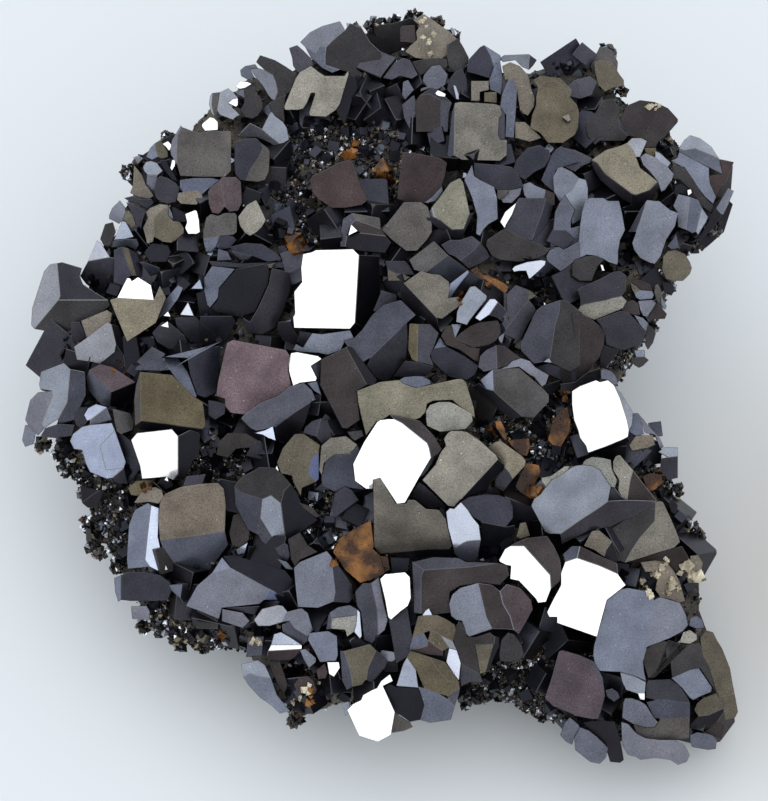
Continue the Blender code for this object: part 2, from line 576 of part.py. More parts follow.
def helper(name, data, collection):
    """An object that only cuts or joins, hidden from renders."""
    made = bpy.data.objects.new(name, data)
    made.hide_render = True
    made.display_type = "WIRE"
    collection.objects.link(made)
    return made


def boolean(thing, operation, other):
    """Joins or cuts an object with another, or with all those of a collection."""
    step = thing.modifiers.new(operation.lower(), "BOOLEAN")
    step.operation = operation
    step.solver = "EXACT"
    if isinstance(other, bpy.types.Collection):
        step.operand_type = "COLLECTION"
        step.collection = other
    else:
        step.object = other
    return step


def settled_mesh(thing):
    """The mesh of an object with its modifiers done."""
    bpy.context.view_layer.update()
    graph = bpy.context.evaluated_depsgraph_get()
    return bpy.data.meshes.new_from_object(thing.evaluated_get(graph))


def loose_parts(data):
    """The separate bodies of a mesh, largest first, as (volume, mesh)."""
    whole = bmesh.new()
    whole.from_mesh(data)
    bmesh.ops.remove_doubles(whole, verts=whole.verts, dist=MERGE_WITHIN * MM)
    whole.faces.ensure_lookup_table()
    seen = set()
    groups = []
    for face in whole.faces:
        if face.index in seen:
            continue
        seen.add(face.index)
        group = [face]
        queue = [face]
        while queue:
            here = queue.pop()
            for edge in here.edges:
                for other in edge.link_faces:
                    if other.index not in seen:
                        seen.add(other.index)
                        group.append(other)
                        queue.append(other)
        groups.append([f.index for f in group])
    found = []
    for group in groups:
        keep = set(group)
        part = whole.copy()
        part.faces.ensure_lookup_table()
        bmesh.ops.delete(part, geom=[f for f in part.faces if f.index not in keep], context="FACES")
        found.append((part.calc_volume(signed=True) / MM**3, part))
    whole.free()
    found.sort(key=lambda pair: -pair[0])
    return found


def stands_out(part):
    """Whether a body shows above the plate, and is no corner that pokes out beneath it."""
    for vert in part.verts:
        u = vert.co.x / MM - MIDDLE_SHIFT[0]
        y = vert.co.y / MM - MIDDLE_SHIFT[1]
        height = vert.co.z / MM - LIFT_ABOVE_BASE
        v = y * math.sin(VIEW_ELEVATION) + height * math.cos(VIEW_ELEVATION)
        w = height * math.sin(VIEW_ELEVATION) - y * math.cos(VIEW_ELEVATION)
        if w > plate_depth(u, v) + LEAST_STAND:
            return True
    return False


def build():
    """The crust and its clusters, the matrix and the amber crystal, each a node of its own."""
    clear_scene()
    scene = bpy.context.scene
    home = bpy.data.collections.new("galena_specimen")
    scene.collection.children.link(home)
    helpers = bpy.data.collections.new("helpers")
    scene.collection.children.link(helpers)
    crystals = bpy.data.collections.new("crystals")
    helpers.children.link(crystals)

    galena = material("galena", (0.33, 0.32, 0.34), 0.9, 0.35)
    sphalerite = material("dark_sphalerite", (0.03, 0.028, 0.026), 0.2, 0.4)
    amber = material("amber_blende", (0.30, 0.14, 0.04), 0.0, 0.25)

    rows = (
        TOP_CRYSTALS + UPPER_LEFT_CRYSTALS + MIDDLE_LEFT_CRYSTALS + CENTRE_CRYSTALS + UPPER_RIGHT_CRYSTALS
        + MIDDLE_RIGHT_CRYSTALS + LOWER_LEFT_CRYSTALS + LOWER_MIDDLE_CRYSTALS + LOWER_RIGHT_CRYSTALS
    )
    meshes = []
    for number, row in enumerate(rows):
        corner, edges, cuts = crystal_parts(row)
        meshes.append(crystal_mesh(f"crystal_{number}", corner, edges, cuts))
    plain = dict.fromkeys(((i, j, k) for i in (0, 1) for j in (0, 1) for k in (0, 1)), 0.0)
    for number, (corner, edges) in enumerate(fillers(rows)):
        meshes.append(crystal_mesh(f"filler_{number}", corner, edges, plain))
    crust = helper("crust", meshes[0], helpers)
    for number, data in enumerate(meshes[1:]):
        helper(f"crystal_{number}", data, crystals)

    blende_parts = crystal_parts(BLENDE)
    cutter_mesh = crystal_mesh("blende_cutter", *blende_parts, grow=PIECE_GAP)
    blende_cutter = helper("blende_cutter", cutter_mesh, helpers)
    matrix_cutter = helper("matrix_cutter", matrix_mesh("matrix_cutter", grow=PIECE_GAP), helpers)

    boolean(crust, "UNION", crystals)
    boolean(crust, "DIFFERENCE", matrix_cutter)
    boolean(crust, "DIFFERENCE", blende_cutter)
    parts = loose_parts(settled_mesh(crust))
    print("bodies", [round(volume) for volume, _ in parts])

    kept = [part for volume, part in parts if volume > CRUMB_VOLUME and stands_out(part)]
    for number, part in enumerate(kept):
        name = "galena_crust" if number == 0 else f"galena_cluster_{number}"
        data = bpy.data.meshes.new(name)
        part.to_mesh(data)
        data.materials.clear()
        data.materials.append(galena)
        home.objects.link(bpy.data.objects.new(name, data))

    matrix = bpy.data.objects.new("matrix", matrix_mesh("matrix"))
    matrix.data.materials.append(sphalerite)
    home.objects.link(matrix)
    boolean(matrix, "DIFFERENCE", blende_cutter)

    blende = bpy.data.objects.new("blende_crystal", crystal_mesh("blende_crystal", *blende_parts))
    blende.data.materials.append(amber)
    home.objects.link(blende)


build()
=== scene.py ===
import math
import random

import bmesh
import bpy
import numpy as np
from mathutils import Matrix, Quaternion, Vector
from mathutils.bvhtree import BVHTree


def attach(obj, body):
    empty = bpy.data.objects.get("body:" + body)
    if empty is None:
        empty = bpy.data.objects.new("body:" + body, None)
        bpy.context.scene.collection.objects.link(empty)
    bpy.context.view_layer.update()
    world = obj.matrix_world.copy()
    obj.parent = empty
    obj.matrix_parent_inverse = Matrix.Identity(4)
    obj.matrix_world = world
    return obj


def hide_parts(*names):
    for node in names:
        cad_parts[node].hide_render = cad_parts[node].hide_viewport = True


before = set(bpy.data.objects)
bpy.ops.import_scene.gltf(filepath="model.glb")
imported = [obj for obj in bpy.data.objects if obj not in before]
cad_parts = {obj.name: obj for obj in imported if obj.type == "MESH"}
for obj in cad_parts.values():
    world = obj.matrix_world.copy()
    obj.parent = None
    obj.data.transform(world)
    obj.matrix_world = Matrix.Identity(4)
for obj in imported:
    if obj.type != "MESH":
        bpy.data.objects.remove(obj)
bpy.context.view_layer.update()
bpy.ops.object.select_all(action="DESELECT")
mm = 0.001
scene = bpy.context.scene
galenaNodes = sorted(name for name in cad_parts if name.startswith("galena_"))
print("frame:", len(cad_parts), "nodes")

# The view of the photo, and how its pixels fall on the plate (lengths in mm)
view = {
    "mmPerPixel": 0.2,
    "distance": 445.0,
    "elevation": math.radians(60),
    "pictureMiddle": (384.0, 400.5),
    "lens": 100.0,
    "sensor": 36.0,
    "lift": 50.0,
    "shift": (-0.36, -14.9),
}
plate = {
    "middleDepth": -8.0,
    "slope": 0.268,
    "dome": 9.0,
    "domeReach": 1.6,        # the dome falls no further out than this
    "halfWidth": 72.0,
    "halfLength": 76.0,
}


def plateDepth(u, v):
    r2 = (u / plate["halfWidth"]) ** 2 + (v / plate["halfLength"]) ** 2
    return plate["middleDepth"] - plate["slope"] * v - plate["dome"] * min(r2, plate["domeReach"])


def across(pixel, depth):  # from a photo pixel to view millimetres at this depth
    scale = view["mmPerPixel"] * (view["distance"] - depth) / view["distance"]
    middle = view["pictureMiddle"]
    return (pixel[0] - middle[0]) * scale, (middle[1] - pixel[1]) * scale


def onPlate(pixel, out=0.0):  # the place on the plate, or this far out from it
    depth = 0.0
    for _ in range(4):
        u, v = across(pixel, depth)
        depth = plateDepth(u, v) + out
    u, v = across(pixel, depth)
    return Vector((u, v, depth))


def toWorld(place):  # view millimetres to table metres
    s = math.sin(view["elevation"])
    c = math.cos(view["elevation"])
    u, v, w = place
    x = u + view["shift"][0]
    y = v * s - w * c + view["shift"][1]
    return Vector((x, y, v * c + w * s + view["lift"])) * mm


cameraPlace = toWorld((0, 0, view["distance"]))


def pixelRay(pixel):  # from the camera through a photo pixel
    return (toWorld((*across(pixel, 0.0), 0.0)) - cameraPlace).normalized()


def addCamera():
    data = bpy.data.cameras.new("photoCamera")
    data.lens = view["lens"]
    data.sensor_fit = "VERTICAL"
    data.sensor_width = view["sensor"]
    data.sensor_height = view["sensor"]
    data.clip_start = 0.01
    data.clip_end = 20
    camera = bpy.data.objects.new("photoCamera", data)
    camera.location = cameraPlace
    camera.rotation_euler = (math.pi / 2 - view["elevation"], 0, 0)
    scene.collection.objects.link(camera)
    scene.camera = camera


addCamera()
print("camera placed")

openPlaces = (  # druse with no galena on it: pixel and reach
    (300, 140, 24), (335, 142, 28), (376, 150, 28), (388, 190, 18), (300, 202, 20), (312, 235, 20),
    (425, 146, 14), (215, 462, 26), (242, 470, 26), (320, 495, 28), (330, 530, 28), (300, 522, 20),
    (245, 535, 18), (555, 435, 30), (495, 430, 18), (530, 450, 22), (545, 408, 14), (105, 510, 30),
    (110, 545, 22), (75, 460, 18), (185, 625, 25), (220, 640, 15), (155, 620, 12), (500, 690, 36),
    (545, 655, 24), (580, 645, 15), (540, 715, 15), (600, 735, 22), (640, 345, 24), (615, 350, 10),
    (660, 470, 20), (682, 500, 12), (695, 540, 14), (55, 350, 14), (300, 670, 10), (290, 706, 12),
    (545, 287, 18), (665, 575, 18), (700, 235, 10), (357, 560, 26),
)
matrixOutline = (  # the rim of the matrix, in pixels
    (428, 16), (450, 40), (470, 62), (500, 68), (540, 68), (575, 50), (600, 62), (625, 95),
    (650, 112), (685, 145), (710, 165), (712, 195), (716, 228), (690, 245), (670, 262), (676, 290),
    (655, 312), (654, 330), (652, 352), (640, 364), (632, 354), (620, 352), (610, 368), (604, 384),
    (602, 402), (615, 430), (640, 440), (674, 452), (676, 485), (678, 500), (690, 530), (700, 540),
    (702, 560), (700, 580), (680, 592), (682, 615), (700, 632), (715, 665), (725, 700), (715, 725),
    (700, 742), (670, 756), (620, 760), (585, 745), (560, 722), (535, 705), (500, 700), (455, 702),
    (420, 715), (385, 722), (350, 702), (325, 705), (305, 724), (292, 722), (270, 695), (252, 672),
    (245, 650), (232, 645), (205, 648), (180, 646), (150, 628), (135, 605), (122, 575), (98, 548),
    (90, 525), (88, 500), (78, 470), (60, 455), (50, 440), (45, 415), (55, 385), (62, 362),
    (42, 350), (62, 338), (70, 310), (90, 270), (115, 225), (130, 190), (160, 160), (185, 130),
    (215, 100), (250, 75), (300, 60), (345, 40), (385, 60), (405, 40),
)


def rimDistance(angle):  # pixels from the picture middle to the rim of the matrix
    way = Vector((math.cos(angle), math.sin(angle)))
    middle = Vector(view["pictureMiddle"])
    furthest = 0.0
    for i, point in enumerate(matrixOutline):
        p = Vector(point) - middle
        q = Vector(matrixOutline[(i + 1) % len(matrixOutline)]) - middle
        side = q - p
        cross = way.x * side.y - way.y * side.x
        if abs(cross) < 1e-9:
            continue
        along = (p.x * side.y - p.y * side.x) / cross
        share = (p.x * way.y - p.y * way.x) / cross
        if along > 0 and -1e-6 <= share <= 1 + 1e-6:
            furthest = max(furthest, along)
    return furthest


def insideRim(pixel, margin=0.0):
    away = Vector(pixel) - Vector(view["pictureMiddle"])
    return away.length < rimDistance(math.atan2(away.y, away.x)) - margin


def inOpenPlace(pixel):
    return any((Vector(spot[:2]) - Vector(pixel)).length < spot[2] for spot in openPlaces)


# Tones of galena faces: colour, roughness, and how strongly pits and grain show. The hues are partly tarnish,
# but the lightness is painted reflection and painted shade: the pale tones up to bright stand for faces
# mirroring light, the dark ones down to graphite for faces in shade
finishes = {
    "bright": ((0.970, 0.970, 0.970), 0.16, 0.15),
    "pearl": ((0.486, 0.530, 0.639), 0.20, 0.3),
    "silver": ((0.270, 0.297, 0.365), 0.30, 0.5),
    "frost": ((0.217, 0.234, 0.277), 0.34, 0.6),
    "lavender": ((0.135, 0.146, 0.186), 0.38, 0.7),
    "ash": ((0.087, 0.095, 0.127), 0.38, 0.8),
    "pewter": ((0.048, 0.050, 0.067), 0.38, 0.9),
    "slate": ((0.029, 0.029, 0.040), 0.36, 0.9),
    "graphite": ((0.011, 0.011, 0.016), 0.34, 0.7),
    "steel": ((0.235, 0.269, 0.368), 0.32, 0.5),
    "indigo": ((0.086, 0.101, 0.179), 0.34, 0.6),
    "khaki": ((0.167, 0.155, 0.120), 0.42, 1),
    "olive": ((0.093, 0.082, 0.062), 0.42, 1),
    "stone": ((0.195, 0.190, 0.168), 0.42, 1),
    "mustard": ((0.087, 0.075, 0.049), 0.42, 1),
    "tan": ((0.137, 0.123, 0.104), 0.42, 1),
    "umber": ((0.072, 0.068, 0.067), 0.42, 1),
    "earthy": ((0.032, 0.030, 0.032), 0.42, 1),
    "brown": ((0.034, 0.028, 0.029), 0.42, 1),
    "plum": ((0.044, 0.032, 0.035), 0.42, 1),
    "rose": ((0.136, 0.098, 0.111), 0.42, 1),
    "mauve": ((0.065, 0.049, 0.055), 0.42, 1),
    "amber": ((0.048, 0.030, 0.018), 0.20, 0.6),
    "honey": ((0.306, 0.196, 0.075), 0.20, 0.6),
}

# Crystals as they show in the photo: stand above the plate in mm, corners in pixels, then each seen face by
# its corners' letters, its tone (tarnish hue with painted reflection and painted shade), and how its normal
# leans right and down in tenths
traced = (
    (5, "57,263 50,264 44,271 32,308 31,325 34,329 58,300 60,296 62,262 82,268 80,276 83,284 96,293 108,300 "
     "110,306 86,325 70,337 62,334", "abcdefgh F -7,1 | aijklmngh D 3,-6 | gfrqpon E 1,8"),
    (4, "97,240 101,243 110,257 88,261 114,258 113,297 97,292 86,284 80,276",
     "abcd S -2,-6 | dcefghi G -1,5"),
    (4, "114,250 122,247 131,276 127,279 117,298 113,297 128,248 136,276 137,253 144,277",
     "abcdef G -3,3 | bghc O 4,2 | gijh D 6,1"),
    (8, "117,298 127,278 130,278 132,281 138,277 151,285 154,300 110,300 118,320 127,342 156,323 166,298 "
     "160,286", "abcdefg W 0,-4 | ahijklmg J 0,2"),
    (5, "81,321 107,310 112,313 111,322 87,338", "abcde T -1,1"),
    (6, "108,322 111,324 116,345 115,352 100,364 92,362 77,360 74,347 88,337 118,326 128,346 124,356",
     "abcdefghi F 0,0 | bjklc K 7,1"),
    (3, "72,322 80,322 88,337 75,345 71,338", "abcde D 0,3"),
    (4, "152,333 162,322 170,323 185,336 188,343 180,350 168,349 157,342", "abcdefgh D -1,3"),
    (6, "160,326 168,321 169,328", "abc W 0,0"),
    (6, "163,316 168,311 171,317", "abc W 0,0"),
    (6, "180,315 188,302 194,316", "abc V 0,0"),
    (6, "191,289 200,279 203,289", "abc S 0,-2"),
    (5, "157,320 165,300 178,285 183,288 178,299 168,312", "abcdef L -3,-2"),
    (3, "175,318 195,316 205,325 220,340 210,346 190,342 176,325", "abcdefg D 2,3"),
    (2, "196,293 206,290 209,307 220,310 222,332 200,318", "abcdef K 2,2"),
    (4, "144,253 152,243 168,245 171,252 166,262 150,262", "abcdef K 0,-2"),
    (4, "139,262 144,262 160,268 160,272 150,276 146,270", "abcdef G -2,4"),
    (6, "64,363 70,369 67,402 58,419 45,428 42,424 53,395 52,391 40,389 39,384 41,372 38,436 28,425 25,420 "
     "30,400 38,392 85,372 86,395 74,420 60,424", "abcdefghijk F -4,0 | hgfelmnop L -4,4 | bqrstdc G 6,1"),
    (6, "89,370 100,364 113,367 136,382 111,392 86,378 88,390 101,405 110,406 134,402 125,409",
     "abcde Q -1,-4 | aeihgf H -5,4 | edjki K 4,6"),
    (9, "140,372 172,375 177,380 196,398 203,402 206,425 203,429 141,421 135,425 134,400 136,385 195,434 "
     "140,430", "abcdefgh M 0,1 | ahijk U -6,1 | hglmi D 0,8"),
    (7, "163,358 178,358 188,372 197,396 195,399 175,378 170,370 135,370 137,366 155,359 160,371",
     "abcdefg H 2,-3 | agkhij G 0,-4"),
    (6, "187,358 210,347 220,346 218,392 205,398 197,395 190,375 163,357 208,346 185,361",
     "abcdefg D 3,2 | hijba H 0,-5"),
    (3, "73,413 80,407 88,407 84,415 88,422 82,428 76,425", "abcdefg D 0,0"),
    (3, "22,440 25,425 33,424 36,433 34,444 25,447", "abcdef L 0,0"),
    (3, "45,428 58,424 75,425 72,436 55,438 40,437", "abcdef G 0,4"),
    (7, "82,427 90,425 112,423 115,430 100,446 106,470 124,468 112,478 107,479 90,472 86,464 82,450 74,449 "
     "70,441 73,434 126,462 128,484 118,483", "abcdefghijklmno Y -1,1 | dpgfe H 3,0 | gqrh H 2,6"),
    (8, "84,415 88,408 96,404 107,407 90,420 87,421 112,420 90,426", "abcdef Y -1,-4 | dghe H 2,1"),
    (5, "112,408 130,413 134,422 133,430 122,434 116,430 131,441 138,455 141,468 134,478 128,482",
     "abcdef U 2,-2 | feghijk D 0,3"),
    (9, "131,440 137,433 172,429 178,436 178,474 173,480 165,477 155,478 142,479 140,466 190,430 200,433 "
     "199,452 193,460 184,480", "abcdefghij W 0,0 | dklmnofe K 7,1"),
    (4, "157,484 164,473 169,474 174,486 165,490", "abcde K 0,2"),
    (7, "164,480 167,476 169,482", "abc W 0,0"),
    (4, "128,488 136,481 155,479 158,483 150,486 138,496 131,495", "abcdefg M 0,-2"),
    (6, "134,503 140,494 147,487 156,487 162,490 164,497 159,504 148,502 140,503", "abcdefghi T 0,-1"),
    (6, "135,510 148,503 151,505 147,540 145,560 150,567 128,569 127,560 129,525 159,508 158,537 162,555 "
     "168,570 158,571", "abcdefghi L -2,0 | cjklmnfed V 4,0"),
    (5, "121,575 128,572 145,572 160,575 171,583 172,590 168,600 150,601 130,601 121,600 114,578 115,592 "
     "118,602", "abcdefghij D 0,2 | aklmj L -6,0"),
    (5, "169,585 182,584 180,598 172,591 190,590 188,600 183,603", "abcd H 0,0 | befgc K 3,2"),
    (4, "131,606 147,606 150,612 149,620 132,619", "abcde L 0,2"),
    (3, "80,486 100,490 92,495 82,503 103,492 98,507 88,508", "abcd K -2,-2 | dcbefg K 2,4"),
    (2, "86,527 91,530 92,542 86,541", "abcd E 0,0"),
    (4, "218,249 228,252 232,260 217,261", "abcd H 0,2"),
    (5, "230,247 245,243 262,244 278,254 282,260 268,262 252,256 232,251 248,260 240,260 228,249",
     "abcdefgh D 0,-1 | hgijk L 0,5"),
    (3, "208,261 240,263 270,262 283,262 285,268 240,268 212,266", "abcdefg D 0,0"),
    (5, "267,265 275,263 272,268 268,269", "abcd O 0,2"),
    (5, "212,266 235,269 219,288 218,298 210,308 207,305 204,290 204,278", "abcdefgh H -3,1"),
    (4, "236,269 264,264 269,270 268,284 255,312 240,317 216,312 211,308 218,299 219,288",
     "abcdefghij K 0,2"),
    (5, "272,268 288,272 291,280 290,292 283,312 275,328 262,335 252,333 250,322 258,308 269,284 243,318 "
     "247,334", "abcdefghijk D 3,3 | ilmh G -5,3"),
    (3, "200,316 232,316 236,322 228,338 222,344 213,333 200,323 219,347 200,341",
     "abcdefg D 1,2 | gfehi D 0,6"),
    (10, "303,254 312,252 316,250 353,249 359,255 355,323 350,329 294,328 293,317 295,314 294,292 302,282 "
     "301,268 379,256 381,300 370,316 364,329", "abcdefghijklm W 0,0 | enopqf K 8,1"),
    (6, "343,219 352,213 380,218 381,229 356,220 351,224 347,236 345,247 340,247 341,230 386,236 360,233 "
     "391,243 385,253 360,251", "bcde U 1,-5 | abefghij G -5,0 | edklf B 1,-2 | glkmnoh K 0,6"),
    (7, "351,224 358,231 348,236", "abc W 0,0"),
    (5, "312,333 322,334 350,330 354,338 345,341 341,350 328,355 318,353 300,352 293,350 296,344 303,348",
     "abcdefghijkl L 0,1"),
    (5, "300,331 312,333 303,348 297,342", "abcd D 0,4"),
    (4, "278,322 290,321 294,329 302,340 292,347 282,340 277,330", "abcdefg D -1,3"),
    (5, "284,322 291,319 291,327", "abc L 0,-2"),
    (7, "291,353 297,352 318,356 322,359 311,366 317,378 316,381 300,383 293,386 289,372 288,362",
     "abcdefghijk W 0,0"),
    (5, "311,366 322,360 319,380 317,378", "abcd G 2,0"),
    (5, "307,383 317,381 322,396 314,391", "abcd L 2,2"),
    (6, "321,360 346,347 367,385 357,391 358,402 360,420 347,429 342,428 320,385 348,346 352,347 377,380 "
     "374,385", "abcdefghi B 0,0 | bjklmc K 5,-3"),
    (9, "227,343 233,340 286,350 290,356 288,370 291,385 278,396 262,402 247,415 231,413 225,406 225,399 "
     "216,396 218,382", "abcdefghijklmn R 0,1"),
    (9, "278,396 290,386 304,383 312,390 316,400 311,402 295,412 275,427 256,431 250,428 241,419 243,416 "
     "262,402 306,420 300,433 283,443 276,440", "abcdefghijklm H 1,2 | fnopqhg K 5,4"),
    (7, "254,433 265,430 273,426 276,441 268,438 263,435", "abcdef V 0,0"),
    (5, "228,433 246,433 260,441 250,448 236,449 228,458 217,455 218,445 221,440 268,452 262,460 246,456",
     "abcdefghi E 0,-2 | cjklde D 3,4"),
    (7, "295,434 304,434 320,445 319,452 311,459 308,474 316,482 302,488 301,497 293,482 292,476 284,474 "
     "281,474 277,463 283,448 319,479", "abcdefghijklmno O 0,1 | dpgfe I 4,2"),
    (7, "277,465 281,476 271,477", "abc W 0,0"),
    (5, "303,433 305,427 312,421 321,418 328,421 334,436 332,440 322,444 316,437",
     "abcdi D -2,-2 | defghi D 3,0"),
    (6, "321,446 330,438 346,436 358,445 350,454 334,455 324,463 322,476 319,470", "abcdefghi T 0,-1"),
    (5, "325,462 334,455 350,454 358,446 361,452 353,465 355,480 365,490 350,488 335,492 322,486 321,478",
     "abcdefghijkl G 0,2"),
    (5, "347,432 362,430 364,436 355,441 351,438", "abcde E 0,-2"),
    (9, "160,503 165,494 181,487 200,484 218,483 224,489 226,505 225,531 200,535 160,540 158,520 228,545 "
     "220,556 208,572 200,579 180,578 173,574 165,556", "abcdefghijk T 0,-1 | jihlmnopqr H 0,7"),
    (3, "236,550 248,542 245,553 238,555", "abcd V 0,2"),
    (3, "233,515 243,512 250,525 249,540 240,548 232,546 229,533", "abcdefg B 0,0"),
    (7, "234,487 240,478 260,467 275,468 285,477 291,484 284,491 281,503 271,495 262,499 240,492 260,518 "
     "258,535 248,530 240,515 235,505 283,520 286,540 278,547 272,550 262,542 297,493 302,505 318,520 "
     "308,527 290,541",
     "abcdefghijk E 0,-5 | akjlmnop G -4,3 | jihqrsl F 2,3 | lstum G 0,6 | gfvwxyzrqh K 6,2"),
    (4, "298,502 312,507 320,516 316,518 303,508", "abcde B 0,0"),
    (4, "335,493 345,486 352,490 359,500 348,508 335,518 332,508", "abcdefg D 0,-2"),
    (6, "223,556 233,555 268,565 285,570 293,580 292,590 283,597 262,584 231,568", "abcdefghi K 2,-4"),
    (5, "275,549 285,543 288,545 290,556 287,562 280,558", "abcdef G 0,3"),
    (5, "277,559 287,562 294,570 286,569", "abcd L 0,4"),
    (4, "288,539 300,532 308,545 318,552 300,560 295,567 291,560", "abcdefg B 0,-2"),
    (9, "294,568 300,562 327,551 331,556 335,592 333,602 318,608 298,607 296,590 340,568 352,585 353,598 "
     "349,603", "abcdefghi L 0,0 | djklmfe D 6,1"),
    (3, "208,400 226,403 225,414 215,420 208,415", "abcde D 0,0"),
    (8, "222,557 231,568 280,594 280,600 264,600 270,590 260,604 222,608 219,619 200,611 186,606 197,586 "
     "212,573", "abm L -1,-3 | bfeghijklm L 0,1 | bcf L 0,1 | cdef I 3,2"),
    (5, "222,609 243,613 250,621 243,628 222,621", "abcde L 0,4"),
    (5, "226,608 260,606 255,615 245,613", "abcd D 0,4"),
    (7, "262,609 278,605 283,606 288,612 283,622 270,626 258,626 254,620", "abcdefgh F 0,0"),
    (7, "287,612 302,608 308,613 313,630 308,636 295,628 290,621 282,622 308,641 303,645 290,637 283,632 "
     "282,625", "abcdefgh L 0,-1 | gfeijklm G -1,4"),
    (7, "274,634 281,632 290,637 302,645 271,645 302,649 268,651 296,656 290,660 272,660 267,656",
     "abcde S 0,-3 | edfg W 0,1 | gfhijk P 0,6"),
    (8, "309,633 328,631 337,636 338,655 336,661 320,662 315,652 308,640", "abcdefgh L 0,0"),
    (7, "300,650 306,649 316,658 316,662 309,668 304,660", "abcdef L 0,1"),
    (8, "327,662 339,662 340,668 334,677 329,674", "abcde W 0,0"),
    (5, "316,670 325,663 328,672 326,678 318,679", "abcde P 0,0"),
    (6, "294,685 300,677 308,676 313,680 317,690 314,694 298,693", "abcdefg P 0,1"),
    (5, "241,664 258,660 265,665 271,678 258,676 250,673 243,677 277,695 290,711 280,714 272,706 260,698 "
     "248,685", "abcdefg F 0,-2 | gfedhijklm L -3,4"),
    (3, "268,661 280,661 288,685 284,695 280,690 272,672", "abcdef B 1,3"),
    (6, "330,612 338,607 350,605 357,609 357,615 332,618 356,625 354,632 347,637 345,630 331,629 326,630 "
     "328,616 360,612 362,636 360,639", "abcdef H 0,-4 | feghijk C 0,2 | afklm G -5,0 | dnophge V 5,0"),
    (6, "355,592 363,583 371,583 377,610 378,636 372,644 364,640 361,612 357,606 379,577 383,600 388,620 "
     "385,630", "abcdefghi G -2,1 | cjklmed L 4,1"),
    (7, "344,651 370,644 376,650 368,668 366,680 362,685 353,687 350,669 340,651 347,690 342,680 388,660 "
     "385,668 372,683", "abcdefgh O 0,1 | ahgjki G -6,1 | clmned D 6,2"),
    (5, "379,654 382,650 395,652 398,657 392,661 380,660 398,672 385,672", "abcdef F 0,-3 | fedgh K 0,5"),
    (9, "347,710 353,704 361,700 363,695 372,690 377,688 381,681 390,674 393,681 383,686 395,712 391,735 "
     "378,742 359,736", "abcdefghijklmn W 0,0"),
    (4, "342,703 349,701 351,712 345,716", "abcd F 0,0"),
    (6, "300,42 310,32 322,26 340,21 343,26 345,30 335,38 326,47 320,46 316,53 305,47 350,23 362,28 370,42 "
     "381,52 380,65 370,79 360,86 356,80 348,72 340,70 325,65 325,55 332,73 322,68 311,58",
     "abcdefghijk L -2,-3 | hgflmnopqrstuvw E 2,0 | kjihwvuxyz H 0,4"),
    (5, "289,48 297,45 303,50 311,58 313,65 298,73 293,66 292,58", "abcdefgh G -2,0"),
    (8, "284,107 296,78 300,72 311,66 320,73 325,76 345,76 348,71 349,74 345,87 340,104 336,110 326,117 "
     "310,116 309,113 315,95 315,93 311,93 307,103 303,109 298,110 285,110", "abcdefghijklmnopqrstuv C 0,0"),
    (5, "349,74 352,75 356,80 358,88 352,100 348,115 345,125 338,115 336,110 340,104 345,87",
     "abcdefghijk K 3,1"),
    (5, "256,62 260,55 275,60 285,66 297,74 294,80 290,92 282,97 275,100 278,92 276,82 273,75 265,70 250,69 "
     "258,68 272,100 268,95 262,85 256,78", "abcdefghijklm E 1,-1 | nomlkjipqrs L -1,2"),
    (4, "240,70 245,66 255,64 258,68 250,69 255,78 248,80 241,76", "abcdefgh H -2,0"),
    (4, "212,93 220,92 219,98 217,115 214,117 211,105 210,96 211,112 209,104",
     "abcdef U 0,0 | afehig F -5,0"),
    (5, "220,92 228,88 233,92 238,98 238,103 232,107 240,115 236,117 233,120 220,115 217,110",
     "abcdefghijk F 0,0"),
    (6, "228,103 233,99 238,98 238,105 236,107", "abcde W 0,0"),
    (6, "235,87 240,81 248,82 252,84 245,88 240,89", "abcdef W 0,0"),
    (5, "233,92 243,89 252,85 256,88 256,92 262,100 263,108 258,116 252,119 245,117 240,110 244,103 244,98",
     "abm H -2,-1 | bcdefghijklm E 1,0"),
    (4, "202,124 210,117 214,118 218,122 218,130 205,131 202,127", "abcdefg W 0,0"),
    (5, "262,129 270,113 272,112 275,116 283,122 287,128 289,140 285,142 283,147 278,142 270,136 240,133 "
     "250,123 281,150 270,143 257,137 246,137 241,138", "abcdefghijk F 0,0 | lmakjinopqr G 0,4"),
    (4, "268,104 274,100 287,94 285,100 284,110 285,122 275,116 272,112", "abcdefgh E 0,0"),
    (7, "178,135 182,127 190,130 200,133 210,131 231,131 231,171 225,177 200,177 180,176 177,165 177,150 "
     "181,125 172,140 170,150 171,155", "abcdefghijkl U 0,0 | bmnopkla L -6,0"),
    (7, "235,142 245,139 256,138 261,143 263,148 258,158 250,170 246,181 240,180 235,174 234,160 268,148 "
     "270,152 269,172 265,180 258,182", "abcdefghijk D -1,0 | dlmnophgfe U 1,0"),
    (7, "310,180 312,176 325,170 340,162 349,160 353,164 358,177 363,190 368,200 362,205 345,208 332,208 "
     "318,199 312,192", "abcdefghijklmn P 0,0"),
    (7, "208,192 211,187 218,182 220,180 224,200 225,207 219,214 212,213 209,205 222,177 236,177 241,182 "
     "242,203 238,211 229,212", "abcdefghi Q -1,0 | djklmnofe Q 1,0"),
    (6, "180,180 195,178 212,178 220,180 211,187 205,192 202,195 198,190 183,192 180,188 178,193 203,197 "
     "200,202 196,205 181,204 177,200", "abcdefghij H 0,-3 | kihglmnop T 0,2"),
    (6, "238,217 247,205 256,200 260,207 266,220 262,227 257,232 250,236 245,233 240,226",
     "abcdefghij C 0,0"),
    (6, "206,218 211,214 218,216 225,213 235,213 237,216 237,232 233,235 220,236 203,238 203,230 216,247 "
     "211,252 206,252 204,245", "abcdefghijk U 0,0 | jilmno L -1,4"),
    (4, "219,236 225,234 233,236 237,240 230,248 220,250 216,247", "abcdefg D 0,2"),
    (7, "185,214 190,212 195,210 197,211 199,220 200,232 197,234 188,234 185,228 187,222",
     "abcdefghij W 0,0"),
    (6.5, "154,218 160,212 165,208 168,209 168,215 173,221 180,222 184,228 184,233 175,241 171,243 163,242 "
     "154,237 146,212 150,208 160,204 168,205 153,242 147,244 145,235 143,228 148,218",
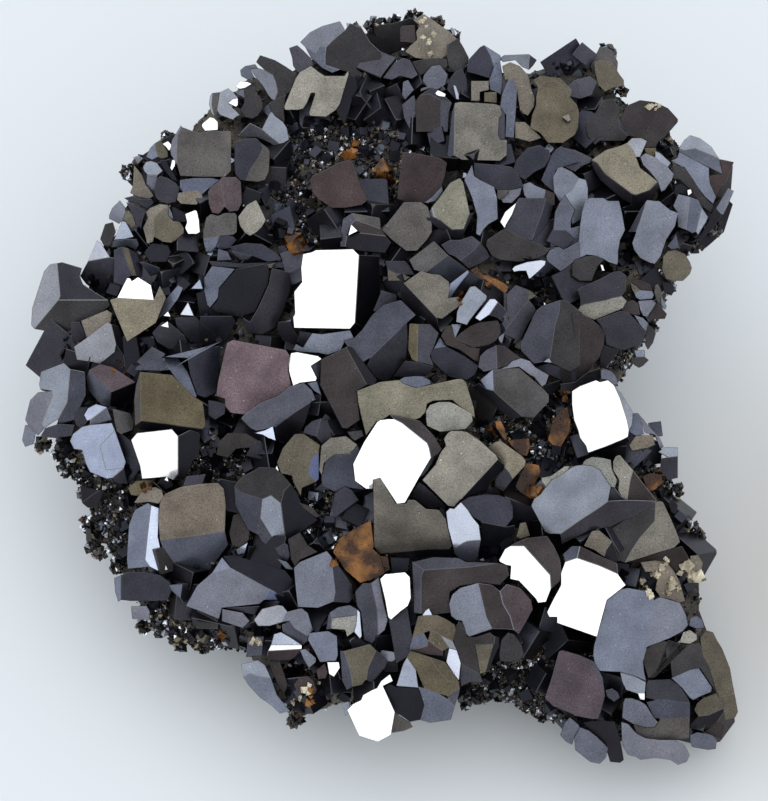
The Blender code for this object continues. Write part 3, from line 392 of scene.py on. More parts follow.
     "abcdefghijklm O 0,0 | nopqdcbamrstuv T -4,0"),
    (5, "168,205 172,213 174,221 168,215", "abcd L 1,0"),
    (4, "134,165 138,170 142,175 146,185 150,190 154,196 149,199 138,197 130,193 133,185",
     "abcdefghij T 0,0"),
    (5, "143,167 146,162 151,161 157,163 163,171 158,175 147,174 144,171 156,183 154,190 150,190 146,184",
     "abcdefgh F 0,-1 | gfijkl L 1,3"),
    (4, "155,143 160,140 163,144 168,152 168,157 162,159 158,157 156,150 146,157 150,148 152,160",
     "abcdefgh O 1,0 | jahgki L -3,0"),
    (4, "162,144 168,141 172,145 170,150 169,151 165,146", "abcdef W 0,0"),
    (4, "170,168 172,160 176,159 175,166 172,171", "abcde W 0,0"),
    (4, "160,160 166,160 170,168 175,175 178,182 172,180 166,172 162,165", "abcdefgh K 0,0"),
    (5, "154,190 156,180 160,176 168,178 176,183 180,188 178,195 176,202 168,204 160,202 156,198",
     "abcdefghijk D 0,0"),
    (4, "124,198 132,196 139,199 152,199 154,203 147,209 140,205 130,202", "abcdefgh D 0,1"),
    (6, "413,20 424,14 430,18 440,25 450,32 440,42 430,40 417,40 416,32 420,26 405,52 410,46 415,58 430,60 "
     "440,60 447,55 458,40", "abcdefghij T 0,-1 | klhgfeqponm T 0,2"),
    (5, "400,30 402,26 415,25 416,40 415,43 400,42", "abcdef B 0,0"),
    (5, "412,62 430,58 440,58 447,60 448,66 440,72 430,70 420,76 415,68", "abcdefghi E 0,1"),
    (5, "447,45 458,38 464,48 469,58 466,66 455,72 448,66 447,55", "abcdefgh E 1,0"),
    (6, "468,60 480,47 484,45 490,55 494,68 492,75 488,78 475,74 467,72 500,55 502,60 496,64",
     "abcdefghi D -1,0 | cjkled L 4,-1"),
    (6, "501,57 504,55 529,54 530,58 529,70 522,67 515,60 502,62 537,60 533,66",
     "abcdefgh L 0,-2 | cijed D 4,0"),
    (8, "455,103 460,102 495,104 500,106 502,115 499,118 498,135 500,140 507,140 507,155 500,161 462,160 "
     "454,156 447,158 452,112", "abcdefghijklm T 0,0 | amno G -5,0"),
    (7, "501,107 505,113 505,140 500,140 498,135 499,118", "abcdef G 4,0"),
    (6, "471,81 489,81 489,90 480,92 480,101 471,101", "abcdef T 0,0"),
    (5, "484,92 497,92 497,103 484,102", "abcd O 0,0"),
    (6, "416,101 420,95 430,94 440,100 440,132 416,132 452,103 449,112 448,132 430,88 437,90 447,98",
     "abcdef B 0,0 | dghie G 2,0 | bjklgdc D 0,-4"),
    (7, "435,93 438,90 446,94 445,97 437,96", "abcde W 0,0"),
    (7, "403,152 420,154 440,158 447,163 445,176 442,186 432,197 424,203 408,202 397,199 399,180 401,165 "
     "443,191 436,201 428,203", "abcdefghijkl P 0,0 | fmnohg S 2,4"),
    (7, "460,178 463,182 466,195 470,214 464,229 452,230 441,221 435,218 432,207 440,197 450,183 426,216",
     "abcdefghijk J 0,0 | lih F -3,1"),
    (6, "435,218 441,221 452,230 464,229 470,214 474,213 461,240 452,238 428,221 426,217",
     "abcdefghij D 0,5"),
    (7, "464,180 472,165 474,176 480,180 494,187 497,198 498,219 489,224 484,229 480,236 476,234 477,216 "
     "472,198 468,188", "abcdefghijklmn L -1,0"),
    (6.5, "474,163 500,165 512,167 520,178 524,187 510,190 497,190 485,183 474,176", "abcdefghi D 0,0"),
    (6, "497,190 510,190 505,196 500,200 497,198", "abcde U 0,0"),
    (6, "516,160 527,148 540,145 548,150 551,156 545,167 535,172 525,180 518,176 513,170",
     "abcdefghij D 0,0"),
    (6, "551,156 556,150 561,146 572,152 580,162 566,166 556,170 554,180 555,193 545,185 541,180 546,168",
     "abcdefghijkl G 0,0"),
    (5, "522,185 530,182 536,186 546,190 545,198 540,205 530,203 524,195", "abcdefgh L 0,0"),
    (5, "500,198 508,190 522,187 520,195 512,203 503,203", "abcdef L 0,-1"),
    (5, "546,190 555,193 555,205 548,207 543,203", "abcde B 0,0"),
    (8, "538,88 545,82 555,81 562,85 570,97 577,105 579,112 578,128 575,135 563,143 548,143 540,133 530,128 "
     "532,115 536,105 536,97 533,80 540,76 560,78 572,90", "abcdefghijklmnop O 0,0 | aqrstedcb O 0,-4"),
    (9, "562,117 569,114 571,120 568,122", "abcd C 0,0"),
    (7, "502,66 510,62 520,66 528,75 532,90 535,98 534,107 528,116 520,112 517,92 513,80 505,80",
     "abcdefghijkl T 0,0"),
    (7.5, "502,95 508,80 513,78 517,90 516,110 514,138 505,137 506,115 500,108", "abcdefghi H 0,0"),
    (5, "515,122 525,122 532,128 542,138 530,142 515,138", "abcdef T 0,1"),
    (5, "489,82 494,66 500,60 503,78 501,95 496,92 490,90", "abcdefg H 0,0"),
    (5, "420,92 424,75 432,66 440,65 448,75 445,85 437,90 430,88", "abcdefgh H 0,0"),
    (5, "383,78 395,62 403,58 410,60 418,75 412,79 400,76 392,80", "abcdefgh G -1,0"),
    (5, "403,82 408,80 414,90 405,100 402,95", "abcde H 0,0"),
    (5, "402,105 414,95 416,101 416,130 410,130 404,118", "abcdef G 0,0"),
    (5, "449,80 455,72 462,68 467,80 468,100 455,99 447,90", "abcdefg D 0,0"),
    (6, "453,85 456,86 459,95 459,100 456,99", "abcde S 0,0"),
    (6, "382,230 404,202 411,202 421,202 428,207 432,225 432,232 427,240 417,251 406,251 392,240",
     "abcdefghijk U 0,0"),
    (7, "409,260 434,241 439,246 448,255 435,265 426,272 421,272 414,270 463,266 468,270 455,280 450,284 "
     "443,276 431,274", "abcdefgh U 0,-2 | dijklmnfe G 3,3"),
    (7, "447,297 450,284 455,280 468,270 469,273 457,288 450,299", "abcdefg Y 1,3"),
    (6, "469,271 480,278 484,283 478,286 470,285 465,290 460,299 451,299 458,288", "abcdefghi D 3,3"),
    (9, "404,283 421,271 431,274 440,275 449,282 450,290 448,298 459,297 461,305 442,319 437,318 440,331 "
     "432,327 420,319 401,298 400,289", "abcdefghijk T 0,0 | aklmnop D -4,5"),
    (4, "385,261 405,261 410,266 415,275 405,275 395,273 387,269 411,277 405,281 388,281",
     "abcdefg D 0,-2 | gfehij O 0,3"),
    (7, "343,341 354,338 362,330 372,315 383,305 401,300 416,315 400,329 370,358 362,363 352,352 407,322 "
     "408,345 406,361 390,379 384,382 376,378 367,366", "abcdefghijk G 0,-2 | ihlmnopqr D 2,4"),
    (6, "409,324 411,323 418,324 417,362 412,360 408,350 430,324 439,333 434,347 430,356 434,366",
     "abcdef M -2,0 | cghijkd G 2,1"),
    (4, "405,361 417,362 434,367 430,372 425,376 400,377 393,377", "abcdefg D 0,3"),
    (5, "434,348 440,337 446,346 461,354 465,356 479,366 475,375 467,380 450,377 440,369 432,361 430,353",
     "abc H 0,-4 | acdefghijkl D 0,2"),
    (6, "441,336 446,326 451,325 455,338 470,347 480,348 479,362 475,361 460,350 446,345",
     "abcdefghij B 1,0"),
    (7, "455,338 462,332 470,326 480,322 497,320 500,325 501,333 496,341 489,345 473,348 451,324 462,324",
     "abcdefghij B 0,1 | kla L -2,-3"),
    (9, "456,322 457,312 461,302 470,287 475,286 487,296 486,300 470,320 467,325 475,318 490,299 495,299 "
     "498,302 489,315 480,321 507,311 502,319", "abcdefghi F 0,0 | jklmno V 1,1 | mpqn D 4,3"),
    (3, "470,270 477,266 482,274 492,277 504,283 509,287 505,295 500,299 487,287", "abcdefghi A 0,-3"),
    (5, "441,245 450,240 460,240 472,236 480,242 474,250 460,261 455,257 448,254 487,250 490,257 484,262 "
     "475,266 469,269", "abcdefghi G 0,-1 | gfejklmn D 2,4"),
    (6, "486,246 487,240 502,230 506,229 527,240 540,244 550,250 545,255 536,259 519,262 500,260 492,256",
     "abcdefghijkl E 0,1"),
    (7, "517,202 512,215 506,225 505,229 500,222 505,212", "abcdef W -2,2"),
    (6, "517,201 519,198 546,198 542,213 535,231 532,241 524,240 506,230 507,224 512,215 553,207 549,221 "
     "541,232", "abcdefghij G 0,1 | cklmfed D 5,1"),
    (5, "555,225 566,230 572,236 575,239 565,250 559,247 552,244 546,241", "abcdefgh D 0,0"),
    (6, "546,256 550,250 559,247 564,250 580,241 580,259 572,262 560,271 552,265 547,261 580,280 565,275",
     "abcdefghij H 0,0 | hgfkl D 1,4"),
    (7, "512,269 515,266 527,262 541,260 546,261 545,265 539,271 531,278 529,279 526,271 519,271 514,272",
     "abcdefghijkl V 0,0"),
    (6, "506,295 516,285 529,290 529,300 519,312 505,330 500,320 507,311 534,306 536,310 527,326 520,341 "
     "514,344 505,337 504,332 537,296", "abcdefgh G 0,-2 | edijklmnof G 3,3 | cpd O 3,-2"),
    (7, "520,344 536,311 542,306 560,300 559,312 555,325 550,359 544,362 534,364 525,355 521,351 567,301 "
     "580,311 580,366 570,372 551,363", "abcdefghijk G -2,1 | dlmnopgfe E 3,1"),
    (7, "549,358 552,363 543,362", "abc S 0,3"),
    (7, "480,356 486,350 496,345 497,369 484,372 478,367 505,346 521,358 512,361 507,366",
     "abcdef G -3,-1 | cghijd B 2,-3"),
    (8, "497,370 507,366 512,361 521,358 530,361 535,367 549,375 546,384 542,387 534,377 530,375 519,367",
     "abcdefghijkl L 1,-4"),
    (8, "493,369 519,368 527,375 540,386 549,395 549,402 534,418 523,417 499,396 494,391 480,380 486,389 "
     "472,387 479,383 512,419 500,411 490,401", "abcdefghij U 0,0 | aklj Y -5,0 | nljihopqm K -4,5"),
    (5, "543,386 560,380 561,384 552,395 549,395", "abcde K 3,2"),
    (8, "357,391 380,382 399,380 404,384 416,388 430,385 457,379 462,379 466,382 474,408 475,418 472,416 "
     "458,405 452,400 433,401 427,404 426,412 420,418 415,420 390,415 382,420 376,422 366,436 362,420 "
     "358,402", "abcdefghijklmnopqrstuvwxy J 0,0"),
    (9.4, "426,411 426,421 427,426 440,432 460,430 466,429 473,421 472,414 455,404 450,402 439,402 430,405",
     "abcdefghijkl C 0,1"),
    (6, "399,380 404,377 414,376 422,376 430,380 431,384 417,388 404,384", "abcdefgh H 0,-4"),
    (3, "549,363 575,372 580,390 572,396 560,380 549,375 535,367", "abcdefg D 0,2"),
    (6, "498,337 505,332 504,336 502,344 499,341", "abcde L 0,0"),
    (10, "380,420 388,419 394,419 402,423 427,443 429,448 431,458 419,478 405,503 397,504 380,478 373,480 "
     "373,489 366,489 355,481 353,464 364,442 377,422 390,415 415,420 420,421 434,436 442,449 438,454",
     "abcdefghijklmnopqr W 0,0 | cstuvwxgfed B 3,-4"),
    (8, "431,458 438,454 432,464 425,474 419,478", "abcde D 5,1"),
    (9, "444,439 447,434 451,431 461,431 467,432 479,440 496,455 498,459 460,500 454,507 448,506 422,480 "
     "435,465 441,452 446,446 505,465 504,470 492,481 487,492", "abcdefghijklmno C 0,0 | hpqrsi K 5,5"),
    (7, "488,447 495,442 501,441 522,456 526,461 525,466 513,479 510,473 504,466 500,460 497,457 503,492 "
     "495,486 495,480", "abcdefghijk J 0,0 | ihglmn D -2,5"),
    (5, "412,492 419,482 424,485 432,492 446,506 445,510 439,507 434,510 426,507 416,499 411,497 446,519 "
     "440,512", "abcdefghijk D 0,3 | flmg L 0,4"),
    (8, "380,478 396,504 406,504 408,500 415,500 426,509 439,510 446,519 452,546 450,549 428,549 388,553 "
     "380,554 374,547 373,480 458,556 415,558 400,557", "abcdefghijklmno T 0,1 | lkjpqr K 0,7"),
    (8, "446,512 450,508 454,509 461,502 468,510 473,518 479,525 481,540 468,541 463,543 456,548 453,546 "
     "448,528 478,555 475,562 466,561 460,559 455,554", "abcdefghijklm V 0,0 | lkjihnopqr H 0,6"),
    (6, "461,502 468,497 485,494 499,495 510,499 513,507 513,518 506,527 481,522 473,517 467,509 515,525 "
     "514,533 500,543 495,557 480,560 478,555 481,540", "abcdefghijk D 1,-2 | ihlmnopqr D 2,6"),
    (9, "499,560 505,549 510,546 524,546 550,575 551,589 546,602 538,603 536,599 519,581 510,579 511,566 "
     "506,565 500,562 517,542 527,538 547,536 554,546 560,559 562,575 560,581",
     "abcdefghijklmn W 0,0 | copqrstufed B 4,-4"),
    (5, "520,523 526,522 530,536 520,539 516,537", "abcde O 0,0"),
    (4, "495,421 501,421 505,429 507,440 504,440 496,428", "abcdef N 0,0"),
    (3, "507,440 529,438 530,448 527,456 521,455 512,447", "abcdef A 0,0"),
    (2, "526,463 539,465 541,473 534,485 531,499 521,493 515,487 519,477", "abcdefgh A 0,0"),
    (5, "552,422 560,410 567,407 571,420 570,431 561,447 552,445 548,440", "abcdefgh A 0,0"),
    (9, "380,579 385,574 405,572 410,577 411,598 408,606 400,612 391,620 388,617 385,600",
     "abcdefghij W 0,0"),
    (3, "380,556 388,556 390,570 380,575", "abcd A 0,0"),
    (2, "390,557 410,558 408,572 392,573", "abcd K 0,0"),
    (5, "340,538 355,528 371,520 374,545 373,549 345,550 333,552 380,555 385,573 378,578 360,583 345,570",
     "abcdefg A 0,-4 | gfehijkl A 0,3"),
    (3, "332,560 345,572 357,585 352,595 340,590 334,575", "abcdef B 2,3"),
    (8, "412,562 433,557 458,558 466,562 497,563 470,567 424,570 421,576 421,614 414,613 507,566 509,575 "
     "500,585 480,583 460,586 450,592 449,604 451,613 440,614 432,616",
     "abcdefg G 0,-3 | aghij G -3,0 | gfeklmnopqrstih B 0,0"),
    (9, "422,616 425,611 429,608 433,616", "abcd V 0,0"),
    (9, "449,604 452,595 460,588 478,583 482,600 486,617 492,629 480,633 469,637 466,634 462,621 456,620 "
     "451,616 492,585 500,591 503,604 510,616 514,630 505,629 507,584 520,588 531,600 533,609 526,622 "
     "519,634", "abcdefghijklm L -1,0 | dnopqrsgfe B 2,1 | otuvwxyrqp Q 3,1"),
    (8, "453,640 455,628 459,621 464,624 467,637 475,637 490,632 495,636 494,644 475,645 480,674 461,664 "
     "486,672 499,637 499,646 488,672 483,682 472,681 461,686 460,678",
     "abcdefghijkl E 0,0 | jimk O 1,0 | hnopmi K 5,0 | lkqrst G 0,5"),
    (9, "418,616 437,615 446,619 455,625 456,630 453,641 440,635 436,632 430,631 424,633 412,638 428,640 "
     "427,646 420,648 409,650 457,650 449,648 461,663 459,681 452,672 446,662 443,651 434,645 443,656 "
     "430,655 418,653",
     "abcdefghijk O 0,-1 | kjlmno H -3,1 | gfpq F 2,0 | qprstu V 2,1 | lihgqvw O 0,0 | onmlwvxyz P 0,4"),
    (8.5, "407,657 410,651 418,653 430,657 436,668 448,681 459,682 460,688 447,696 440,694 424,688 416,670 "
     "445,662 452,671 396,686 403,664 418,687 448,699 455,706 451,720 430,723 420,720 424,705 420,692 "
     "459,694", "abcdefghijkl M 0,1 | dmngfe G 2,0 | opalq S -3,0 | qkjrstuvwx H 0,3 | ihysr G 3,2"),
    (7, "383,688 389,684 396,687 418,688 423,700 424,712 420,720 410,722 403,717 395,712",
     "abcdefghij K 0,2"),
    (5, "395,713 410,722 413,727 404,731 392,733 391,726", "abcdef U 0,4"),
    (6, "501,640 508,632 514,634 522,645 524,655 519,662 500,661 499,655", "abcdefgh E 0,0"),
    (9, "559,651 563,650 580,655 591,660 601,680 605,696 601,711 598,719 592,719 577,716 561,709 553,706 "
     "545,698 551,680 595,662 603,678", "abcdefghijklmn Q 0,0 | dopfe G 4,-2"),
    (4, "561,92 575,80 590,76 597,82 592,95 580,99 572,97", "abcdefg G 0,0"),
    (4, "594,62 600,60 612,62 620,75 624,80 624,86 612,88 605,92 598,85 595,72", "abcdefghij O 0,-2"),
    (5, "585,126 592,118 604,100 613,99 620,108 618,118 620,128 628,136 624,141 600,141 595,145 588,137 "
     "635,137 624,126", "abcdefghijkl E 0,0 | fnmhg D 2,2"),
    (5, "620,118 628,105 640,100 655,102 668,108 678,119 678,122 665,137 660,140 655,147 645,148 645,140 "
     "634,137 622,124", "abcdefghijklmn B 1,0"),
    (7, "591,160 606,150 620,146 627,143 633,150 636,157 640,168 648,174 658,182 650,190 636,195 632,194 "
     "605,174 597,163 632,138 641,138 647,141 644,148 640,157", "abcdefghijklmn J 0,0 | dopqrsfe F 1,-3"),
    (6, "591,160 597,163 605,174 632,194 632,204 622,199 600,180 593,168", "abcdefgh D -4,3"),
    (5, "632,194 636,195 650,190 658,182 660,186 650,198 636,211 625,218 622,208 632,204",
     "abcdefghij D 2,5"),
    (6, "640,157 645,153 655,157 660,162 668,167 674,174 672,180 665,190 661,192 658,182 650,172 643,165 "
     "655,151 660,153 671,163", "abcdefghijkl L 0,0 | cmnoed F 1,-3"),
    (5, "644,148 656,148 656,156 650,156 645,152", "abcde M 0,0"),
    (7, "684,140 690,135 700,138 712,147 716,154 720,159 712,155 695,148 684,150 679,148 722,174 700,163 "
     "685,155 679,152", "abcdefghij F 0,-3 | jihgfklmn H 0,0"),
    (6, "720,159 734,162 727,180 722,187 716,197 710,184 709,176 722,174", "abcdefgh P 4,1"),
    (6.5, "679,152 685,155 700,163 709,168 709,176 710,184 716,197 713,204 705,197 698,188 693,180 684,167 "
     "677,158 671,161 682,167", "abcdefghijklm L 0,2 | mnol L -2,0"),
    (5, "672,165 684,167 693,180 698,188 705,197 713,205 712,214 700,205 690,190 680,180 672,178",
     "abcdefghijk E 0,2"),
    (6, "678,194 690,197 686,230 678,227 677,212 673,206 698,200 702,208 700,215 696,232 692,233 708,217 "
     "706,222 698,235", "abcdef L -2,0 | bghijkc H 0,1 | hlmnji F 3,0"),
    (4, "675,185 684,182 690,184 694,190 698,199 690,197 680,193 672,200", "abcdefgh K 0,0"),
    (6, "687,190 691,189 692,193 688,196", "abcd W 0,0"),
    (4, "722,198 728,188 734,191 728,205 723,215 719,213 716,208 719,203", "abcdefgh L 1,0"),
    (3, "722,215 716,208 708,222 700,236 690,243 700,240 712,230 716,224", "abcdefgh K 1,1"),
    (4, "672,240 676,234 679,248 672,250 667,246", "abcde H 0,0"),
    (7, "647,200 655,201 659,201 670,210 678,213 675,226 666,240 661,256 655,264 650,263 640,258 634,250 "
     "632,243 636,232 640,222 628,232 640,210", "abcdefghijklmno L 0,0 | aonpq D -4,1"),
    (8, "585,201 590,198 603,198 608,201 619,201 622,213 625,230 620,240 618,252 618,262 617,265 608,262 "
     "603,259 596,256 587,255 580,258 575,260 578,248 580,225 582,212", "abcdefghijklmnopqrst L 0,0"),
    (7.5, "553,178 558,168 562,167 572,172 579,178 572,190 565,195 560,202 554,192 586,180 588,188 588,200 "
     "584,210 580,220 572,225 571,220 575,210 568,200", "abcdefghi L 0,0 | ejklmnopqrgf F 3,1"),
    (6, "560,202 565,195 568,200 575,210 571,220 571,228 580,226 580,245 570,255 562,268 556,262 550,246 "
     "553,230 555,212", "abcdefghijklmn H 0,2"),
    (6, "560,147 575,150 592,158 590,163 582,166 575,172 560,165 552,160", "abcdefgh G 0,0"),
    (6, "572,266 575,260 587,256 597,256 604,260 598,266 594,275 592,281 580,281 572,276",
     "abcdefghij E 0,0"),
    (5, "600,264 603,265 605,271 602,271", "abcd W 0,0"),
    (7, "577,290 582,287 600,279 613,272 620,271 626,275 626,290 622,296 612,298 606,300 595,302 585,304 "
     "580,306 580,298 627,301 623,308 620,310 600,318 594,320 583,315 578,310",
     "abcdefghijklmn D 0,0 | mlkjihopqrstu C 0,2"),
    (5, "620,310 626,302 632,300 638,303 640,315 633,315", "abcdef B 0,0"),
    (6, "596,320 620,311 628,312 637,322 646,333 640,345 625,350 620,350 606,345 605,335 600,325",
     "abcdefghijk D 0,2"),
    (5, "634,315 643,318 648,323 646,332 640,325", "abcde L 1,0"),
    (5, "630,282 636,286 640,290 634,293 632,290 652,291 654,295 652,299 640,300 636,298",
     "abcde O -2,0 | dcfghij L 0,0"),
    (4, "630,281 640,280 650,284 652,291 640,290 636,286", "abcdef B 0,-1"),
    (5, "638,301 652,300 656,303 652,310 647,317 643,316 640,310", "abcdefg L 0,1"),
    (4, "655,285 658,284 661,290 663,300 660,305 656,300 654,292", "abcdefg U 0,0"),
    (4, "661,296 665,303 667,306 665,310 661,305", "abcde L 1,0"),
    (4, "647,318 652,311 658,304 662,308 667,314 665,319 655,319 650,320", "abcdefgh B 1,1"),
    (4, "647,323 652,328 656,333 653,343 648,350 645,345 646,333", "abcdefg E 2,0"),
    (6, "663,257 668,251 675,250 685,254 690,262 692,268 690,274 683,281 672,281 666,279 662,270",
     "abcdefghijk O 1,0"),
    (4, "662,282 672,283 675,288 670,293 664,292", "abcde K 1,1"),
    (4, "631,358 636,357 645,357 649,360 643,366 639,368 634,365 631,361 634,350 645,350",
     "abcdefgh E 0,1 | bijc L 0,-2"),
    (7, "601,370 605,369 611,371 616,377 618,385 614,385 608,380 601,379", "abcdefgh H 1,-2"),
    (10, "572,391 580,386 596,380 600,382 608,380 614,385 620,398 627,420 629,430 628,437 622,440 605,447 "
     "588,453 586,446 580,438 578,430 574,420 572,405 622,394 633,412 632,425",
     "abcdefghijklmnopqr W 0,0 | fstuihg F 5,0"),
    (6, "572,314 580,313 590,318 600,326 605,334 604,345 600,356 588,372 575,382 562,384 560,372 575,345",
     "abcdefghijkl B 3,2"),
    (4, "604,345 612,348 620,350 614,357 606,368 600,368 600,356", "abcdefg K 1,2"),
    (4, "560,384 575,382 588,372 600,368 601,379 590,382 573,389 565,395 560,396", "abcdefghi D 0,3"),
    (2, "562,397 566,393 568,398 566,403 562,402", "abcde N 0,0"),
    (6, "588,453 605,447 622,440 628,437 630,441 622,446 606,451 588,456", "abcdefgh K 0,6"),
    (10, "577,558 600,566 618,574 622,580 626,585 621,589 607,600 602,618 597,637 580,631 557,623 557,617 "
     "549,617 547,612 553,600 561,585 561,573 565,562 563,554 572,546 580,546 600,556 617,563",
     "abcdefghijklmnopqr W 0,0 | arstu G -2,-5 | auvwcb B 1,-6"),
    (7, "584,546 592,531 599,530 612,541 606,550 604,557 594,550 616,550 620,561 613,562",
     "abcdefg T 0,0 | dhijfe K 4,3"),
    (7, "656,502 660,501 663,502 671,519 677,533 680,542 674,548 660,552 645,557 625,563 632,550 640,538 "
     "655,521 607,532 612,528 636,512 620,561 616,550 612,540", "abcdefghijklm T 1,0 | nopamlkjqrs E -2,2"),
    (5, "625,563 645,557 660,552 674,548 682,546 688,556 690,568 684,581 676,572 668,562 650,560 640,562",
     "abcdefghijkl B 0,4"),
    (3, "640,562 655,560 668,562 675,572 680,582 682,590 685,601 680,603 672,600 660,597 655,590 657,580 "
     "652,572 645,572", "abcdefghijklmn T 1,0"),
    (3, "690,556 698,555 703,563 701,571 707,580 699,583 688,583 686,575 690,568", "abcdefghi T 3,0"),
    (5, "658,452 665,447 678,447 678,456 668,457 678,478 668,480 660,470 661,458",
     "abcde F 0,-2 | edfghi D 2,2"),
    (4, "629,445 636,435 653,435 655,445 648,448 632,451", "abcdef T 0,0"),
    (5, "629,432 628,420 632,413 638,413 642,425 644,434 636,436", "abcdefg H -1,0"),
    (4, "638,413 645,421 652,430 660,438 664,447 660,449 655,435 645,433 642,425", "abcdefghi L 2,0"),
    (2, "642,476 650,473 662,474 663,482 655,490 648,492", "abcdef A 0,0"),
    (2, "668,503 674,500 678,505 676,515 671,512", "abcde K 0,0"),
    (10, "534,499 540,495 546,487 552,480 560,476 568,470 575,466 582,465 592,466 600,470 606,480 611,487 "
     "608,501 600,507 580,520 560,534 550,534 545,532 537,517 531,506 627,500 657,501 636,514 612,526 "
     "590,530 562,544", "abcdefghijklmnopqrst F 0,0 | ponmuvwxyz D 0,6"),
    (9, "582,465 585,460 592,457 603,458 611,460 612,470 617,480 615,488 611,487 606,480 600,470 592,466",
     "abcdefghijkl C 0,-1"),
    (9, "616,456 620,455 625,461 633,470 630,480 627,500 621,496 618,490 619,480 613,470 613,462 642,482 "
     "650,492 657,501 611,487 615,488 608,501", "abcdefghijk C 0,0 | dlmnfe B 3,0 | opgfq D 1,1"),
    (9, "541,478 551,476 565,466 570,466 568,470 560,476 552,480 546,487 542,482", "abcdefghi C 0,-2"),
    (8, "531,498 535,486 541,479 546,487 540,495 534,499", "abcdef G -3,-1"),
    (9, "607,600 621,589 628,588 650,592 654,600 652,612 650,630 647,647 643,662 644,672 646,681 635,676 "
     "620,672 600,671 595,665 593,655 594,645 597,636 602,618 660,597 680,603 686,615 688,625 683,631 "
     "670,638", "abcdefghijklmnopqrs L 0,0 | etuvwxyhgf L 2,0"),
    (5, "620,672 635,676 646,682 645,694 638,694 626,690 622,682 640,700 645,700",
     "abcdefg F 0,0 | edih W 0,1"),
    (6, "643,662 645,650 650,646 660,641 668,642 666,650 668,660 660,670 655,678 648,678 680,644 688,645 "
     "700,643 704,658 708,665 715,690 700,668 690,670 672,678", "abcdefghij E -1,0 | ehijklmnopqrs E 0,0"),
    (7, "680,640 683,632 690,630 697,635 697,640 690,644 680,643 676,650 678,655 672,653 670,647",
     "abcdefghijk C 0,0"),
    (7, "671,678 690,669 699,668 712,687 711,692 703,695 693,700 690,698 682,688", "abcdefghi L 0,0"),
    (5, "700,638 706,630 713,632 717,640 722,648 730,668 733,685 736,700 738,712 735,718 725,720 722,705 "
     "716,692 708,665 702,655", "abcdefghijklmno O 3,0"),
    (5, "697,703 703,698 716,693 722,703 724,708 708,715 698,716 694,710 724,712 716,724 705,730 692,732 "
     "690,725", "abcdefgh O 0,0 | gfeijklm K 0,5"),
    (5, "689,626 690,618 697,616 702,620 704,628 697,629", "abcdef H 0,0"),
    (3, "704,732 718,722 725,726 722,740 712,735", "abcde B 1,1"),
    (4, "690,735 697,732 712,735 717,740 716,749 708,750 692,747 690,742", "abcdefgh H 0,1"),
    (6, "648,680 670,679 680,686 688,698 690,703 680,702 668,700 655,700 646,698 646,685 646,702 654,718 "
     "660,719 678,718 690,716 645,727 633,724 636,733 645,738 660,740 676,740 689,738 655,727",
     "abcdefghij D 0,-2 | hgfeonmlk G 1,0 | pwmnovutsrq U 0,3"),
    (6.5, "623,703 625,698 632,698 640,701 646,705 654,718 658,722 655,727 645,727 633,724 622,718",
     "abcdefghijk H -1,0"),
    (5, "621,722 628,724 636,733 645,738 640,752 636,757 628,755 622,745 660,740 676,740 685,745 690,755 "
     "687,762 678,765 670,760 655,758 640,760", "abcdefgh L -2,1 | dijklmnopqfe L 0,4"),
    (4, "583,722 600,720 615,722 620,738 624,760 620,763 610,762 605,745 595,735 588,730",
     "abcdefghij K 0,2"),
    (5, "574,738 580,727 588,730 597,737 608,748 606,758 600,764 590,762 575,750", "abcdefghi H 0,1"),
    (4, "560,735 565,722 570,717 578,724 580,728 574,738 572,745 566,742", "abcdefgh H -2,1"),
    (4, "605,690 612,688 618,692 620,698 614,702 607,697", "abcdef G 0,0"),
    (4, "109,215 112,208 120,200 125,207 126,212 123,220 119,224 114,221 109,219", "abcdefghi L -1,0"),
    (4, "123,220 126,212 129,210 133,215 136,225 131,228 126,222", "abcdefg O 0,0"),
    (5, "114,240 122,221 126,222 134,237 125,239", "abcde S 0,0"),
    (4, "100,239 105,224 113,222 116,232 110,246 104,246", "abcdef E -2,0"),
    (4, "126,202 140,208 146,212 143,220 140,235 134,237 130,228 136,225 133,215", "abcdefghi D 0,0"),
    (5, "112,247 114,241 125,239 137,239 139,245 136,250 127,246 120,247", "abcdefgh G 0,3"),
    (4, "172,207 178,209 185,213 187,222 183,222 173,221 172,213", "abcdefg K 0,0"),
    (1, "540,62 576,38 588,58 552,82", "abcd D 1,2"),
    (4, "572,55 582,42 598,55 588,68", "abcd G 3,2"),
    (1.5, "270,215 290,205 296,230 276,240", "abcd D -2,-2"),
    (3, "150,370 136,362 152,346 166,354", "abcd G -1,-3"),
    (1, "678,248 670,238 678,230 686,240", "abcd D -1,-3"),
    (1, "640,276 656,268 650,254 634,262", "abcd D -2,-3"),
    (3, "650,438 663,436 661,421 648,423", "abcd G -2,-2"),
    (9, "182,490 201,488 206,474 187,476", "abcd D -1,-2"),
    (3, "246,657 262,656 264,636 248,637", "abcd G -1,-2"),
    (6, "396,664 388,616 407,604 415,652", "abcd D -1,-1"),
    (-4, "676,150 700,142 716,158 733,166 731,192 726,216 716,236 702,252 688,236 682,196",
     "abcdefghij E 2,1"),
    (-5, "700,634 716,652 724,680 733,704 735,722 720,742 704,744 694,700", "abcdefgh E 3,0"),
    (-5, "668,560 690,556 699,580 699,610 708,634 690,640 676,600", "abcdefg B 2,0"),
    (-5, "700,214 724,196 733,204 724,232 706,248 694,240", "abcdef K 3,1"),
    (-4, "345,48 352,30 366,34 376,25 394,23 410,18 430,21 446,29 458,42 462,56 440,66 400,62 366,62",
     "abcdefghijklm E 0,3"),
    (-4, "122,176 128,166 138,158 150,150 162,140 172,134 178,150 166,172 150,186 134,188",
     "abcdefghij K -2,1"),
    (-3, "590,66 600,46 612,50 618,62 616,90 600,96", "abcdef U 2,1"),
